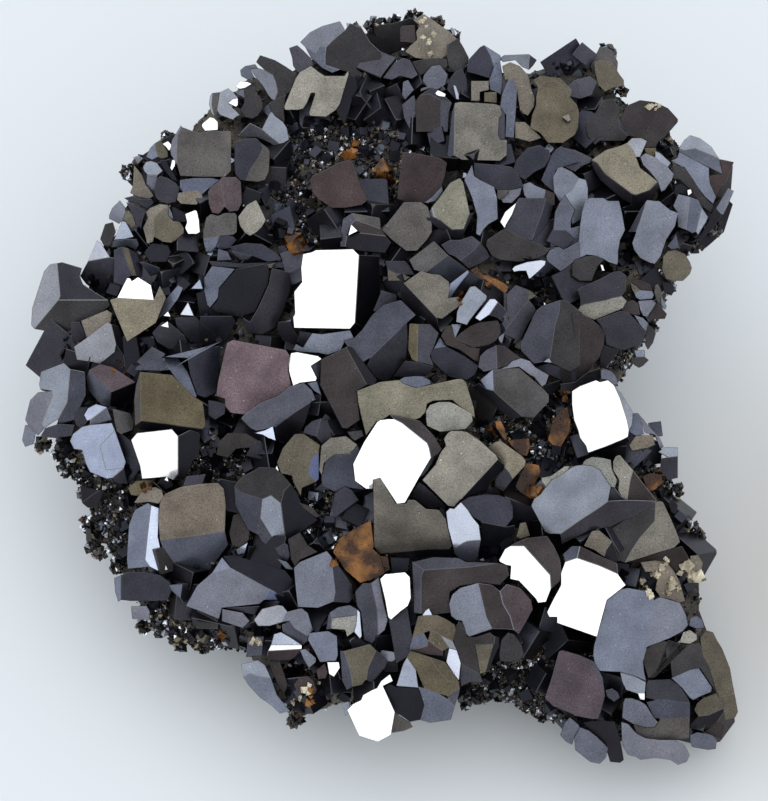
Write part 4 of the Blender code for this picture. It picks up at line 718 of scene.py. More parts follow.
    (-4, "640,110 668,120 672,146 658,156 640,150", "abcde K 2,1"),
)

# one letter for each tone; the pale tones are painted reflection, the dark ones painted shade
toneLetters = {
    "W": "bright", "S": "silver", "F": "frost", "L": "lavender", "H": "ash", "G": "pewter", "D": "slate",
    "K": "graphite", "Y": "steel", "O": "olive", "C": "stone", "M": "mustard", "T": "tan", "U": "umber",
    "E": "earthy", "B": "brown", "P": "plum", "R": "rose", "A": "amber", "N": "honey", "J": "khaki",
    "V": "pearl", "I": "indigo", "Q": "mauve",
}
seen = {
    "hold": 5.0,             # how firmly the first face keeps its place on the plate
    "meet": 100.0,           # how firmly neighbouring faces share their corners
    "lean": 12.0,            # how firmly a face keeps the lean that was noted
    "length": (4.5, 11.0),   # mm, back from the seen faces
    "shortLength": (3.0, 4.0),
    "shortBelow": -3,        # crystals that stand this low are short
    "lengthShare": 0.75,
    "taper": 0.86,
    "edgeBevel": 0.09,       # mm
    "thin": 0.2,             # mm, faces thinner than this are bevels
    "towardCamera": 0.3,
    # painted shade: the sides behind the seen faces take these dark tones
    "hiddenFinishes": ("slate", "graphite", "slate", "earthy"),
}
sameFace = {
    "facing": 0.985,
    "depth": 0.25,           # mm
    "areaShare": 0.15,
}
shading = {
    "spread": 0.06,
    "cast": (-0.03, 0.06),   # from cooler to warmer
    "gloss": (0.92, 1.1),
    "palest": 0.97,
    "edgeGloss": 0.32,
    "edgeGrain": 0.2,
}


def readTrace(row):
    out, corners, faces = row
    points = [tuple(float(number) for number in pair.split(",")) for pair in corners.split()]
    found = []
    for text in faces.split(" | "):
        ring, letter, lean = text.split()
        slope = [float(number) / 10 for number in lean.split(",")]
        found.append(([ord(mark) - ord("a") for mark in ring], toneLetters[letter], slope))
    return out, points, found


def cornerDepths(out, points, faces):  # flat faces that lean as noted and meet at their shared corners
    far = view["distance"]
    middle = np.mean(points, axis=0)
    rows = []
    wanted = []

    def ask(entries, value, weight):
        row = np.zeros(3 * len(faces))
        for face, place, sign in entries:
            row[3 * face:3 * face + 3] += np.array(place) * sign
        rows.append(row * weight)
        wanted.append(value * weight)

    def spot(place):
        return 1.0, place[0] - middle[0], place[1] - middle[1]

    first = np.mean([points[corner] for corner in faces[0][0]], axis=0)
    depth = onPlate(first, out).z
    ask([(0, spot(first), 1)], far * depth / (far - depth), seen["hold"])
    for face, (ring, _, lean) in enumerate(faces):
        rise = math.sqrt(max(0.05, 1 - lean[0] ** 2 - lean[1] ** 2))
        for axis, place in enumerate(((0, 1, 0), (0, 0, 1))):
            ask([(face, place, 1)], -view["mmPerPixel"] * lean[axis] / rise, seen["lean"])
        for other in range(face):
            for corner in set(ring) & set(faces[other][0]):
                place = spot(points[corner])
                ask([(face, place, 1), (other, place, -1)], 0.0, seen["meet"])
    planes = np.linalg.lstsq(np.array(rows), np.array(wanted), rcond=None)[0].reshape(-1, 3)
    depths = []
    for corner, point in enumerate(points):
        mine = [planes[face] for face in range(len(faces)) if corner in faces[face][0]]
        near = float(np.mean([np.dot(plane, spot(point)) for plane in mine]))
        depths.append(far * near / (far + near))
    return depths


def bevelEdges(offset, affect="EDGES"):
    clamp = affect == "EDGES"
    bpy.ops.mesh.bevel(offset=offset, offset_type="OFFSET", segments=1, affect=affect, clamp_overlap=clamp)


def endShape():
    bpy.ops.mesh.select_all(action="SELECT")
    bpy.ops.mesh.dissolve_degenerate(threshold=1e-6)
    bpy.ops.object.mode_set(mode="OBJECT")


def traceCrystal(name, row):
    out, points, faces = readTrace(row)
    depths = cornerDepths(out, points, faces)
    places = [toWorld((*across(point, depth), depth)) for point, depth in zip(points, depths)]
    data = bpy.data.meshes.new(name)
    data.from_pydata(places, [], [ring for ring, _, _ in faces])
    piece = bpy.data.objects.new(name, data)
    scene.collection.objects.link(piece)
    bpy.context.view_layer.objects.active = piece
    middle = sum(places, Vector()) / len(places)
    ray = (middle - cameraPlace).normalized()
    planes = []
    for face in data.polygons:
        normal = face.normal if face.normal.dot(ray) < 0 else -face.normal
        planes.append((normal.copy(), face.center.copy(), face.area))
    size = math.sqrt(sum(plane[2] for plane in planes))
    low, high = seen["length"] if out > seen["shortBelow"] else seen["shortLength"]
    back = ray * min(high * mm, max(low * mm, seen["lengthShare"] * size))
    bpy.ops.object.mode_set(mode="EDIT")
    bpy.ops.mesh.select_all(action="SELECT")
    bpy.ops.mesh.extrude_region_move(TRANSFORM_OT_translate={"value": back})
    bpy.ops.transform.resize(value=[seen["taper"]] * 3, center_override=tuple(middle + back))
    bpy.ops.mesh.select_all(action="SELECT")
    bpy.ops.mesh.normals_make_consistent(inside=False)
    bevelEdges(seen["edgeBevel"] * mm)
    endShape()
    return piece, planes, [toneName for _, toneName, _ in faces]


def faceOf(face, planes):  # the seen face that this polygon is part of
    best = None
    for number, (normal, center, area) in enumerate(planes):
        away = abs((face.center - center).dot(normal))
        near = away < sameFace["depth"] * mm and face.area > sameFace["areaShare"] * area
        if near and face.normal.dot(normal) > sameFace["facing"]:
            if best is None or away < best[0]:
                best = (away, number)
    return None if best is None else best[1]


def faceWidth(face, data):  # area over the longest edge
    sides = [data.vertices[a].co - data.vertices[b].co for a, b in face.edge_keys]
    return face.area / max(1e-9, *(side.length for side in sides))


def shadeOf(toneName, rng, spread=shading["spread"]):
    color, gloss, grain = finishes[toneName]
    vary = rng.uniform(1 - spread, 1 + spread)
    cast = rng.uniform(*shading["cast"])
    tint = (color[0] * vary * (1 + cast), color[1] * vary, color[2] * vary * (1 - cast))
    return (*(min(share, shading["palest"]) for share in tint), gloss * rng.uniform(*shading["gloss"]), grain)


def paintedEdgeHighlight(main):  # painted highlight: thin edge faces get a tone a little paler than dark faces and darker than bright ones, standing for light caught on the edges
    highlightTone = (0.75 * min(share, 0.2) + 0.035 for share in main[:3])
    return (*highlightTone, shading["edgeGloss"], shading["edgeGrain"])


def paintFaces(data, shades):  # one colour, gloss and grain for each polygon
    colors = [value for shade in shades for value in (*shade[:3], 1.0)]
    data.attributes.new("tint", "FLOAT_COLOR", "FACE").data.foreach_set("color", colors)
    for label, number in (("gloss", 3), ("grain", 4)):
        values = [shade[number] for shade in shades]
        data.attributes.new(label, "FLOAT", "FACE").data.foreach_set("value", values)


def buildTraced():
    rng = random.Random(17)
    built = []
    for number, row in enumerate(traced):
        piece, planes, names = traceCrystal(f"crystal_{number}", row)
        fronts = [shadeOf(name, rng) for name in names]
        # painted shade: hidden sides take dark tones
        sides = [shadeOf(rng.choice(seen["hiddenFinishes"]), rng) for _ in range(6)]
        shades = []
        for face in piece.data.polygons:
            found = faceOf(face, planes)
            if found is not None:
                shades.append(fronts[found])
            # painted highlight: thin faces that look toward the camera get the edge highlight, the others a
            # side tone
            elif faceWidth(face, piece.data) < seen["thin"] * mm:
                toward = face.normal.dot((cameraPlace - face.center).normalized())
                shades.append(paintedEdgeHighlight(fronts[0]) if toward > seen["towardCamera"] else sides[0])
            else:  # any fixed mix of the face's direction picks one of the six
                shades.append(sides[int(abs(face.normal.x) * 17 + abs(face.normal.z) * 31) % 6])
        paintFaces(piece.data, shades)
        scene.collection.objects.unlink(piece)
        built.append((piece, names[0]))
    return built


tracedCrystals = buildTraced()
print("traced crystals:", len(tracedCrystals))

fillers = {
    "across": (20, 750),     # pixels
    "down": (10, 775),
    "jitter": 0.18,          # share of the spacing
    "under": 0.72,           # share of the edge
    "cuts": (0.06, 0.1, 0.0, 0.08),
    "rows": (  # seed, spacing in pixels, edges in mm, margin to the rim in pixels, sink in mm
        (11, 50, (9.0, 12.0), 26.0, 1.0),
        (12, 21, (3.5, 7.5), 12.0, 0.8),
    ),
}


def insideRing(ring, place):
    inside = False
    for i, (x1, y1) in enumerate(ring):
        x2, y2 = ring[i - 1]
        if (y1 > place[1]) != (y2 > place[1]) and place[0] < x1 + (x2 - x1) * (place[1] - y1) / (y2 - y1):
            inside = not inside
    return inside


def seenRings():  # outline of each traced face with more than three corners, and its stand
    found = []
    for row in traced:
        out, points, faces = readTrace(row)
        found += [([points[corner] for corner in ring], out) for ring, _, _ in faces if len(ring) > 3]
    return found


def randomTurn(rng):
    return Quaternion([rng.gauss(0, 1) for _ in range(4)]).normalized()


def fillerEdges(seed, spacing, edgeRange, margin, sink):  # lesser cubes low between the traced ones
    rng = random.Random(seed)
    rings = seenRings()
    middles = [sum((Vector(point) for point in ring), Vector((0, 0))) / len(ring) for ring, _ in rings]
    jitter = fillers["jitter"]
    found = []
    for x in range(*fillers["across"], spacing):
        for y in range(*fillers["down"], spacing):
            place = (x + rng.uniform(-jitter, jitter) * spacing, y + rng.uniform(-jitter, jitter) * spacing)
            edge = rng.uniform(*edgeRange)
            turn = randomTurn(rng).to_matrix()
            if not insideRim(place, margin) or inOpenPlace(place):
                continue
            if any(insideRing(ring, place) for ring, _ in rings):
                continue
            aways = [(middle - Vector(place)).length for middle in middles]
            near = sorted(aways)[2]
            top = min(out for (_, out), away in zip(rings, aways) if away <= near) - sink
            middle = onPlate(place, top - fillers["under"] * edge)
            edges = [turn @ Vector([edge if i == axis else 0 for i in range(3)]) for axis in range(3)]
            found.append((middle - sum(edges, Vector()) / 2, edges))
    return found


cube = {
    "edgeBevel": 0.13,       # mm
    "edgeBevelShare": 0.04,  # at most, of the shortest edge
    "leastCut": 0.04,        # share of the shortest edge
}


def selectVertNear(piece, place):
    bpy.ops.mesh.select_all(action="DESELECT")
    mesh = bmesh.from_edit_mesh(piece.data)
    min(mesh.verts, key=lambda vert: (vert.co - place).length).select = True
    mesh.select_flush(True)
    bmesh.update_edit_mesh(piece.data)


def selectFaceFacing(piece, way):  # the largest face that looks this way
    bpy.ops.mesh.select_all(action="DESELECT")
    mesh = bmesh.from_edit_mesh(piece.data)
    facing = [face for face in mesh.faces if face.normal.dot(way) > 0.995]
    if not facing:
        return 0.0, None
    chosen = max(facing, key=lambda face: face.calc_area())
    chosen.select = True
    mesh.select_flush(True)
    bmesh.update_edit_mesh(piece.data)
    return chosen.calc_area(), chosen.calc_center_median()


def cutCube(name, start, ways, rng):
    bpy.ops.mesh.primitive_cube_add(size=1)
    piece = bpy.context.active_object
    piece.name = name
    place = Matrix(ways).transposed().to_4x4()
    place.translation = start + sum(ways, Vector()) / 2
    piece.data.transform(place)
    if place.determinant() < 0:
        piece.data.flip_normals()
    shortest = min(way.length for way in ways)
    bpy.ops.object.mode_set(mode="EDIT")
    bpy.ops.mesh.select_mode(type="VERT")
    for (i, j), share in zip(((0, 0), (1, 0), (1, 1), (0, 1)), fillers["cuts"]):
        if share >= cube["leastCut"]:
            selectVertNear(piece, start + ways[0] * i + ways[1] * j)
            bevelEdges(share * shortest, "VERTICES")
    bpy.ops.mesh.select_all(action="SELECT")
    bevelEdges(min(cube["edgeBevel"] * mm, cube["edgeBevelShare"] * shortest))
    growSteps(piece, ways, rng)
    endShape()
    return piece


growth = {
    "leastEdge": 6.5,        # mm, smaller faces stay plain
    "chance": 0.45,
    "inset": (0.06, 0.2),    # share of the face
    "rise": (0.06, 0.14),    # mm
    "sunkenChance": 0.15,
}


def growSteps(piece, ways, rng):  # low growth plateaus, a few of them sunken
    draws = [rng.random() for _ in range(6)]
    if min(way.length for way in ways[:2]) < growth["leastEdge"] * mm or draws[0] > growth["chance"]:
        return
    out = -ways[2].normalized()
    area, middle = selectFaceFacing(piece, out)
    if area < (growth["leastEdge"] * mm) ** 2:
        return
    bpy.ops.mesh.select_mode(type="FACE")
    low, high = growth["inset"]
    share = 1 - low - (high - low) * draws[1]
    along = (draws[3] - 0.5) * 0.9 * (1 - share) * ways[0] + (draws[4] - 0.5) * 0.9 * (1 - share) * ways[1]
    bpy.ops.mesh.extrude_region_move(TRANSFORM_OT_translate={"value": along})
    bpy.ops.transform.resize(value=(share, share, share), center_override=tuple(middle + along))
    low, high = growth["rise"]
    rise = (low + (high - low) * draws[5]) * mm * (-1 if draws[2] < growth["sunkenChance"] else 1)
    bpy.ops.mesh.extrude_region_move(TRANSFORM_OT_translate={"value": out * rise})


# The sides and cut corners of a filler cube, each with one shade for all its polygons
facets = {"thin": 0.3, "flat": 0.98, "upright": 0.25}


def labelFacets(piece, ways):
    units = [way.normalized() for way in ways]
    out = -units[2]
    labels = []
    for face in piece.data.polygons:
        tall = face.normal.dot(out)
        angle = math.atan2(face.normal.dot(units[1]), face.normal.dot(units[0]))
        sector = int(round(angle / math.radians(45))) % 8
        if faceWidth(face, piece.data) < facets["thin"] * mm:
            labels.append(("edge", 0))
        elif abs(tall) > facets["flat"]:
            labels.append(("main" if tall > 0 else "back", 0))
        else:
            labels.append(("side" if abs(tall) < facets["upright"] else "oblique", sector))
    return labels


def buildCubes():
    rng = random.Random(3)
    cubes = []
    shapes = [shape for row in fillers["rows"] for shape in fillerEdges(*row)]
    for number, (corner, edges) in enumerate(shapes):
        start = toWorld(corner)
        ways = [toWorld(corner + edge) - start for edge in edges]
        piece = cutCube(f"cube_{number}", start, ways, rng)
        cubes.append((piece, labelFacets(piece, ways)))
        scene.collection.objects.unlink(piece)
    return cubes


lesser = {
    "finishes": ("pewter", "slate", "graphite", "earthy"),
    "shares": (0.12, 0.4, 0.4, 0.08),
    "oblique": ("pewter", "slate", "graphite"),
    "spread": 0.12,
    "window": Vector((-0.35, 0.35, 0.87)).normalized(),
    "towardWindow": 0.25,
}


def lesserToneByWindow(kind, normal, rng):  # painted light: pewter, the palest tone, is turned to slate on faces, other than oblique ones, that don't look up and to the window side
    draw = rng.choices(lesser["finishes"], lesser["shares"])[0]
    if kind == "oblique":
        return rng.choice(lesser["oblique"])
    if normal.dot(lesser["window"]) < lesser["towardWindow"] and draw == "pewter":
        return "slate"
    return draw


def paintFacets(cubes):
    rng = random.Random(5)
    for piece, labels in cubes:
        shades = {}
        for label, face in zip(labels, piece.data.polygons):
            if label not in shades and label[0] != "edge":
                shades[label] = shadeOf(lesserToneByWindow(label[0], face.normal, rng), rng, lesser["spread"])
        plain = shadeOf("slate", rng)
        main = shades.get(("main", 0), plain)
        # painted highlight: edge faces of the filler cubes get the edge highlight
        paintFaces(piece.data, [shades.get(label) or paintedEdgeHighlight(main) for label in labels])


builtCubes = buildCubes()
paintFacets(builtCubes)
cubes = [piece for piece, _ in builtCubes]
print("galena cubes:", len(cubes))


def groupSockets(name, inputs, outputs):
    group = bpy.data.node_groups.new(name, "ShaderNodeTree")
    for label, kind, value in inputs:
        group.interface.new_socket(name=label, in_out="INPUT", socket_type=kind).default_value = value
    for label, kind in outputs:
        group.interface.new_socket(name=label, in_out="OUTPUT", socket_type=kind)
    return group, group.nodes.new("NodeGroupInput").outputs, group.nodes.new("NodeGroupOutput")


def feed(tree, node, inputs):  # each input takes a value, or a link from a socket
    for label, value in inputs.items():
        if isinstance(value, bpy.types.NodeSocket):
            tree.links.new(value, node.inputs[label])
        else:
            node.inputs[label].default_value = value
    return node.outputs


def addNode(tree, kind, inputs=None, **settings):
    node = tree.nodes.new("ShaderNode" + kind)
    for name, value in settings.items():
        setattr(node, name, value)
    return feed(tree, node, inputs or {})


def mathNode(tree, operation, *terms):
    return addNode(tree, "Math", dict(enumerate(terms)), operation=operation)[0]


def mapRange(tree, source, *limits, kind="LINEAR"):
    return addNode(tree, "MapRange", dict(enumerate((source, *limits))), interpolation_type=kind)[0]


def mixColors(tree, share, first, second, blend="MIX"):
    return addNode(tree, "Mix", {0: share, 6: first, 7: second}, data_type="RGBA", blend_type=blend)[2]


def objectTexture(tree, kind, inputs):
    place = addNode(tree, "TexCoord")["Object"]
    return addNode(tree, "Tex" + kind, {"Vector": place, **inputs})[0]


def mineralGrainGroup():  # fine grain, scattered pits, dust and soft clouds over a base colour; the pits are darkened, painted shade in them
    group, start, end = groupSockets(
        "mineralGrain",
        (("Color", "NodeSocketColor", (0.2, 0.2, 0.2, 1)), ("Amount", "NodeSocketFloat", 1.0),
         ("Roughness", "NodeSocketFloat", 0.4)),
        (("Color", "NodeSocketColor"), ("Roughness", "NodeSocketFloat"), ("Height", "NodeSocketFloat")),
    )
    grain = objectTexture(group, "Noise", {"Scale": 4200, "Detail": 2})
    cloud = objectTexture(group, "Noise", {"Scale": 190, "Detail": 5})
    pits = mapRange(group, objectTexture(group, "Voronoi", {"Scale": 1500}), 0.10, 0.22)
    dust = mapRange(group, objectTexture(group, "Voronoi", {"Scale": 520}), 0.05, 0.09, 2.2, 1.0)
    grainShade = mapRange(group, grain, 0.3, 0.7, 0.66, 1.34)
    cloudShade = mapRange(group, cloud, 0.3, 0.7, 0.70, 1.30)
    both = mathNode(group, "MULTIPLY", grainShade, cloudShade)
    # painted shade: the colour darkens toward the pit centres, while the dust specks lighten it
    pitShadeAndDust = mathNode(group, "MULTIPLY", mapRange(group, pits, 0.0, 1.0, 0.55, 1.0), dust)
    shade = mathNode(group, "MULTIPLY", both, pitShadeAndDust)
    amount = addNode(group, "Mix", {0: start["Amount"], 2: 1.0, 3: shade}, data_type="FLOAT")[0]
    grey = addNode(group, "CombineColor", {0: amount, 1: amount, 2: amount})[0]
    rough = mathNode(group, "MULTIPLY_ADD", pits, -0.18, start["Roughness"])
    rough = mathNode(group, "MULTIPLY_ADD", cloud, 0.12, rough)
    height = mathNode(group, "MULTIPLY_ADD", grain, 0.35, pits)
    height = mathNode(group, "MULTIPLY_ADD", cloud, 2.0, height)
    feed(group, end, {
        "Color": mixColors(group, 1.0, start["Color"], grey, "MULTIPLY"),
        "Roughness": mathNode(group, "ADD", rough, 0.1),
        "Height": mathNode(group, "MULTIPLY", height, start["Amount"]),
    })
    return group


def cloudedGroup():  # two colours in soft clouds
    group, start, end = groupSockets(
        "clouded",
        (("Deep", "NodeSocketColor", (0, 0, 0, 1)), ("Pale", "NodeSocketColor", (1, 1, 1, 1)),
         ("Scale", "NodeSocketFloat", 240.0)),
        (("Color", "NodeSocketColor"),),
    )
    cloud = objectTexture(group, "Noise", {"Scale": start["Scale"], "Detail": 4})
    share = mapRange(group, cloud, 0.44, 0.66)
    feed(group, end, {"Color": mixColors(group, share, start["Deep"], start["Pale"])})
    return group


mineralGrain = mineralGrainGroup()
clouded = cloudedGroup()


def newMaterial(name):
    material = bpy.data.materials.new(name)
    material.use_nodes = True
    return material, material.node_tree, material.node_tree.nodes["Principled BSDF"]


def grainSkin(tree, shader, color, roughness, amount, bump=None):  # bump: metres, and how strong
    inputs = {"Color": color, "Roughness": roughness, "Amount": amount}
    skin = addNode(tree, "Group", inputs, node_tree=mineralGrain)
    feed(tree, shader, {"Base Color": skin["Color"], "Roughness": skin["Roughness"]})
    if bump:
        relief = {"Height": skin["Height"], "Distance": bump[0], "Strength": bump[1]}
        feed(tree, shader, {"Normal": addNode(tree, "Bump", relief)["Normal"]})


def paintedMaterial(name, grain, bump, settings):  # reads the colour and gloss painted on each face
    material, tree, shader = newMaterial(name)
    tint = addNode(tree, "Attribute", attribute_name="tint")["Color"]
    gloss = addNode(tree, "Attribute", attribute_name="gloss")["Fac"]
    amount = grain or addNode(tree, "Attribute", attribute_name="grain")["Fac"]
    grainSkin(tree, shader, tint, gloss, amount, bump)
    feed(tree, shader, settings)
    return material


def cloudedMaterial(name, deep, pale, scale, roughness, grain, bump, settings):
    material, tree, shader = newMaterial(name)
    inputs = {"Deep": (*deep, 1), "Pale": (*pale, 1), "Scale": scale}
    tone = addNode(tree, "Group", inputs, node_tree=clouded)
    grainSkin(tree, shader, tone["Color"], roughness, grain, bump)
    feed(tree, shader, settings)
    return material


def clearMaterial(name, deep, pale, transmission):  # clear, with paler clouds inside
    settings = {"IOR": 1.5, "Specular IOR Level": 0.1, "Transmission Weight": transmission}
    return cloudedMaterial(name, deep, pale, 240, 0.1, 0.8, (0.0002, 0.7), settings)


galena = paintedMaterial("galena", None, (0.00006, 0.5), {"Metallic": 0.8})
druse = paintedMaterial("black_druse", 0.5, None, {"Metallic": 0.5, "Specular IOR Level": 0.3})
rock = cloudedMaterial("dark_rock", (0.018, 0.017, 0.016), (0.085, 0.072, 0.056), 130, 0.5, 1.0,
                       (0.0008, 0.7), {"Specular IOR Level": 0.25})
amber = clearMaterial("amber_blende", (0.050, 0.017, 0.004), (0.34, 0.145, 0.034), 0.4)
quartz = clearMaterial("pale_quartz", (0.42, 0.36, 0.26), (0.75, 0.68, 0.52), 0.35)
print("materials made")


def treeOf(pieces):  # one tree of all their faces, for rays and nearest places
    verts = []
    faces = []
    for piece in pieces:
        base = len(verts)
        verts.extend(vert.co.copy() for vert in piece.data.vertices)
        faces.extend([base + corner for corner in face.vertices] for face in piece.data.polygons)
    return BVHTree.FromPolygons(verts, faces)


def middleOf(piece):
    verts = piece.data.vertices
    return sum((vert.co for vert in verts), Vector()) / len(verts)


def selectOnly(pieces):
    bpy.ops.object.select_all(action="DESELECT")
    for piece in pieces:
        piece.select_set(True)
    bpy.context.view_layer.objects.active = pieces[0]


def joinPieces(pieces, name):
    selectOnly(pieces)
    bpy.ops.object.join()
    joined = bpy.context.active_object
    joined.name = name
    joined.data.name = name
    return joined


def setMaterial(piece, material):
    piece.data.materials.clear()
    piece.data.materials.append(material)


def groupCubes(cubes):  # each crystal joins the CAD solid that it is part of
    trees = {name: treeOf([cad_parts[name]]) for name in galenaNodes}
    groups = {name: [] for name in galenaNodes}
    for piece in cubes:
        middle = middleOf(piece)
        nearest = min(galenaNodes, key=lambda name: trees[name].find_nearest(middle)[3])
        groups[nearest].append(piece)
    joined = []
    for name, members in groups.items():
        piece = joinPieces(members, name.replace("galena_", "") + "_cubes")
        setMaterial(piece, galena)
        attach(piece, "root")
        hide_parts(name)
        joined.append(piece)
    return joined


amberPieces = [piece for piece, toneName in tracedCrystals if toneName in ("amber", "honey")]
galenaCrystals = [piece for piece, toneName in tracedCrystals if toneName not in ("amber", "honey")]
for piece in cubes + amberPieces + galenaCrystals:
    scene.collection.objects.link(piece)
galenaPieces = groupCubes(cubes + galenaCrystals)
print("galena pieces:", len(galenaPieces))

rockShape = {
    "voxel": 1.1,            # mm
    "lumps": (9.0, 2.2, "DISTANCE"),  # size and rise in mm
    "chips": (2.6, 1.3, "CHEBYCHEV"),
    "midLevel": 0.62,
    "flatBelow": 0.6,        # mm
}


def roughRock():
    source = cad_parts["matrix"]
    rockPiece = source.copy()
    rockPiece.data = source.data.copy()
    rockPiece.parent = None
    for key in list(rockPiece.keys()):
        del rockPiece[key]
    rockPiece.name = "matrix_rock"
    scene.collection.objects.link(rockPiece)
    selectOnly([rockPiece])
    bpy.ops.object.mode_set(mode="EDIT")
    bpy.ops.mesh.select_all(action="SELECT")
    bpy.ops.mesh.remove_doubles(threshold=1e-6)
    bpy.ops.object.mode_set(mode="OBJECT")
    remesh = rockPiece.modifiers.new("voxels", "REMESH")
    remesh.mode = "VOXEL"
    remesh.voxel_size = rockShape["voxel"] * mm
    bpy.ops.object.modifier_apply(modifier=remesh.name)
    for label in ("lumps", "chips"):
        size, rise, metric = rockShape[label]
        texture = bpy.data.textures.new(label, "VORONOI")
        texture.noise_scale = size * mm
        texture.distance_metric = metric
        push = rockPiece.modifiers.new(label, "DISPLACE")
        push.texture = texture
        push.texture_coords = "LOCAL"
        push.strength = rise * mm
        push.mid_level = rockShape["midLevel"]
        bpy.ops.object.modifier_apply(modifier=push.name)
    for vert in rockPiece.data.vertices:
        if vert.co.z < rockShape["flatBelow"] * mm:
            vert.co.z = 0
    setMaterial(rockPiece, rock)
    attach(rockPiece, "root")
    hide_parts("matrix")
    return rockPiece


rockPiece = roughRock()
print("rock:", len(rockPiece.data.polygons), "faces")

# Small shapes that repeat, as unit vertices and faces
cubeShape = (
    ((-1, -1, -1), (1, -1, -1), (1, 1, -1), (-1, 1, -1), (-1, -1, 1), (1, -1, 1), (1, 1, 1), (-1, 1, 1)),
    ((0, 3, 2, 1), (4, 5, 6, 7), (0, 1, 5, 4), (1, 2, 6, 5), (2, 3, 7, 6), (3, 0, 4, 7)),
)
octahedronShape = (
    ((1, 0, 0), (-1, 0, 0), (0, 1, 0), (0, -1, 0), (0, 0, 1), (0, 0, -1)),
    ((0, 2, 4), (2, 1, 4), (1, 3, 4), (3, 0, 4), (2, 0, 5), (1, 2, 5), (3, 1, 5), (0, 3, 5)),
)


def joinedShapes(name, shape, places, material, tints=()):  # tints: colour and gloss of each
    unit = np.array(shape[0], float)
    verts = []
    faces = []
    for place, turn, size in places:
        base = len(verts)
        moved = (unit * np.array(size)) @ np.array(turn.to_matrix()).T + np.array(place)
        verts.extend(moved.tolist())
        faces.extend([base + corner for corner in face] for face in shape[1])
    data = bpy.data.meshes.new(name)
    data.from_pydata(verts, [], faces)
    data.materials.append(material)
    piece = bpy.data.objects.new(name, data)
    scene.collection.objects.link(piece)
    if tints:
        paintFaces(data, [(*tint, 0.5) for tint in tints for _ in shape[1]])
    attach(piece, "root")


cubeTree = treeOf(galenaPieces)
rockTree = treeOf([rockPiece])

druseShape = {
    "count": 11500,
    "openCount": 7500,       # in the open places of the crust
    "mostTries": 60000,
    "size": (0.16, 0.62),    # mm
    "clear": 2.0,            # mm of open way above a grain
    "lowest": 3,             # mm
    "steepest": -0.8,
    "openReach": 1.25,
}
druseTones = (  # share, colour, roughness
    (0.60, (0.012, 0.011, 0.011), 0.15), (0.17, (0.050, 0.048, 0.050), 0.2),
    # painted glints: the pale grey and near-white grains stand for light caught on tiny crystal faces
    (0.07, (0.22, 0.23, 0.26), 0.2), (0.05, (0.80, 0.84, 0.92), 0.1),
    (0.08, (0.060, 0.042, 0.028), 0.3), (0.03, (0.24, 0.20, 0.13), 0.4),
)
rimDruse = (  # photo pixel and radius of the black ragged rock at the rim
    (130, 172, 8), (140, 162, 6), (168, 138, 7), (376, 28, 12), (354, 30, 7), (395, 24, 9), (414, 22, 12),
    (436, 26, 9), (453, 36, 7), (607, 53, 9), (622, 91, 5), (666, 144, 6), (713, 228, 8), (693, 245, 7),
    (669, 286, 6), (653, 328, 5), (605, 355, 7), (676, 491, 8), (677, 509, 7), (692, 528, 8), (700, 537, 5),
    (47, 351, 11), (41, 361, 4), (43, 444, 8), (61, 452, 9), (69, 467, 10), (80, 475, 9), (91, 491, 12),
    (89, 525, 9), (100, 532, 10), (93, 545, 7), (100, 552, 7), (117, 565, 8), (143, 627, 7), (161, 625, 11),
    (179, 642, 8), (204, 645, 8), (218, 636, 8), (295, 720, 7), (465, 698, 10), (482, 692, 11),
    (501, 690, 11), (530, 700, 9), (542, 712, 8),
)


def rimPlaces(rng):
    found = []
    for x, y, radius in rimDruse:
        middle = onPlate((x, y), -4.0)
        for _ in range(int(radius * 8)):
            away = Vector([rng.gauss(0, 0.45) for _ in range(3)])
            away *= radius * view["mmPerPixel"] / max(1.0, away.length)
            size = rng.uniform(0.35, 1.0) * mm
            place = toWorld(middle + away)
            place.z = max(place.z, 1.5 * size)
            found.append((place, randomTurn(rng), [size * rng.uniform(0.7, 1.3) for _ in range(3)]))
    return found


def druseGrain(place, normal, rng):
    low, high = druseShape["size"]
    size = (low + (high - low) * rng.random() ** 2) * mm
    return place + normal * size * 0.3, randomTurn(rng), [size * rng.uniform(0.8, 1.3) for _ in range(3)]


def rockGrains(rng):  # all over the rock, where nothing covers it
    faces = list(rockPiece.data.polygons)
    picks = rng.choices(faces, [face.area for face in faces], k=druseShape["mostTries"])
    found = []
    for face in picks:
        if face.normal.z < druseShape["steepest"] or face.center.z < druseShape["lowest"] * mm:
            continue
        if cubeTree.ray_cast(face.center, face.normal, druseShape["clear"] * mm)[0] is not None:
            continue
        jitter = Vector([rng.uniform(-0.5, 0.5) for _ in range(3)]) * mm
        found.append(druseGrain(face.center + jitter, face.normal, rng))
        if len(found) >= druseShape["count"]:
            break
    return found


def openGrains(rng):  # more of them where the photo shows the rock through the crust
    areas = [spot[2] ** 2 for spot in openPlaces]
    found = []
    for _ in range(druseShape["mostTries"]):
        x, y, reach = rng.choices(openPlaces, areas)[0]
        angle = rng.uniform(0, 2 * math.pi)
        away = reach * druseShape["openReach"] * math.sqrt(rng.random())
        ray = pixelRay((x + away * math.cos(angle), y + away * math.sin(angle)))
        place, normal, _, far = rockTree.ray_cast(cameraPlace, ray)
        if place is not None and cubeTree.ray_cast(cameraPlace, ray, far)[0] is None:
            found.append(druseGrain(place, normal, rng))
        if len(found) >= druseShape["openCount"]:
            break
    return found


def drusePlaces():
    rng = random.Random(21)
    found = rockGrains(rng) + openGrains(rng) + rimPlaces(rng)
    tones = rng.choices(druseTones, [tone[0] for tone in druseTones], k=len(found))
    return found, [(*color, gloss) for _, color, gloss in tones]


druseSpots, druseTints = drusePlaces()
joinedShapes("black_druse", octahedronShape, druseSpots, druse, druseTints)
print("druse grains:", len(druseSpots))

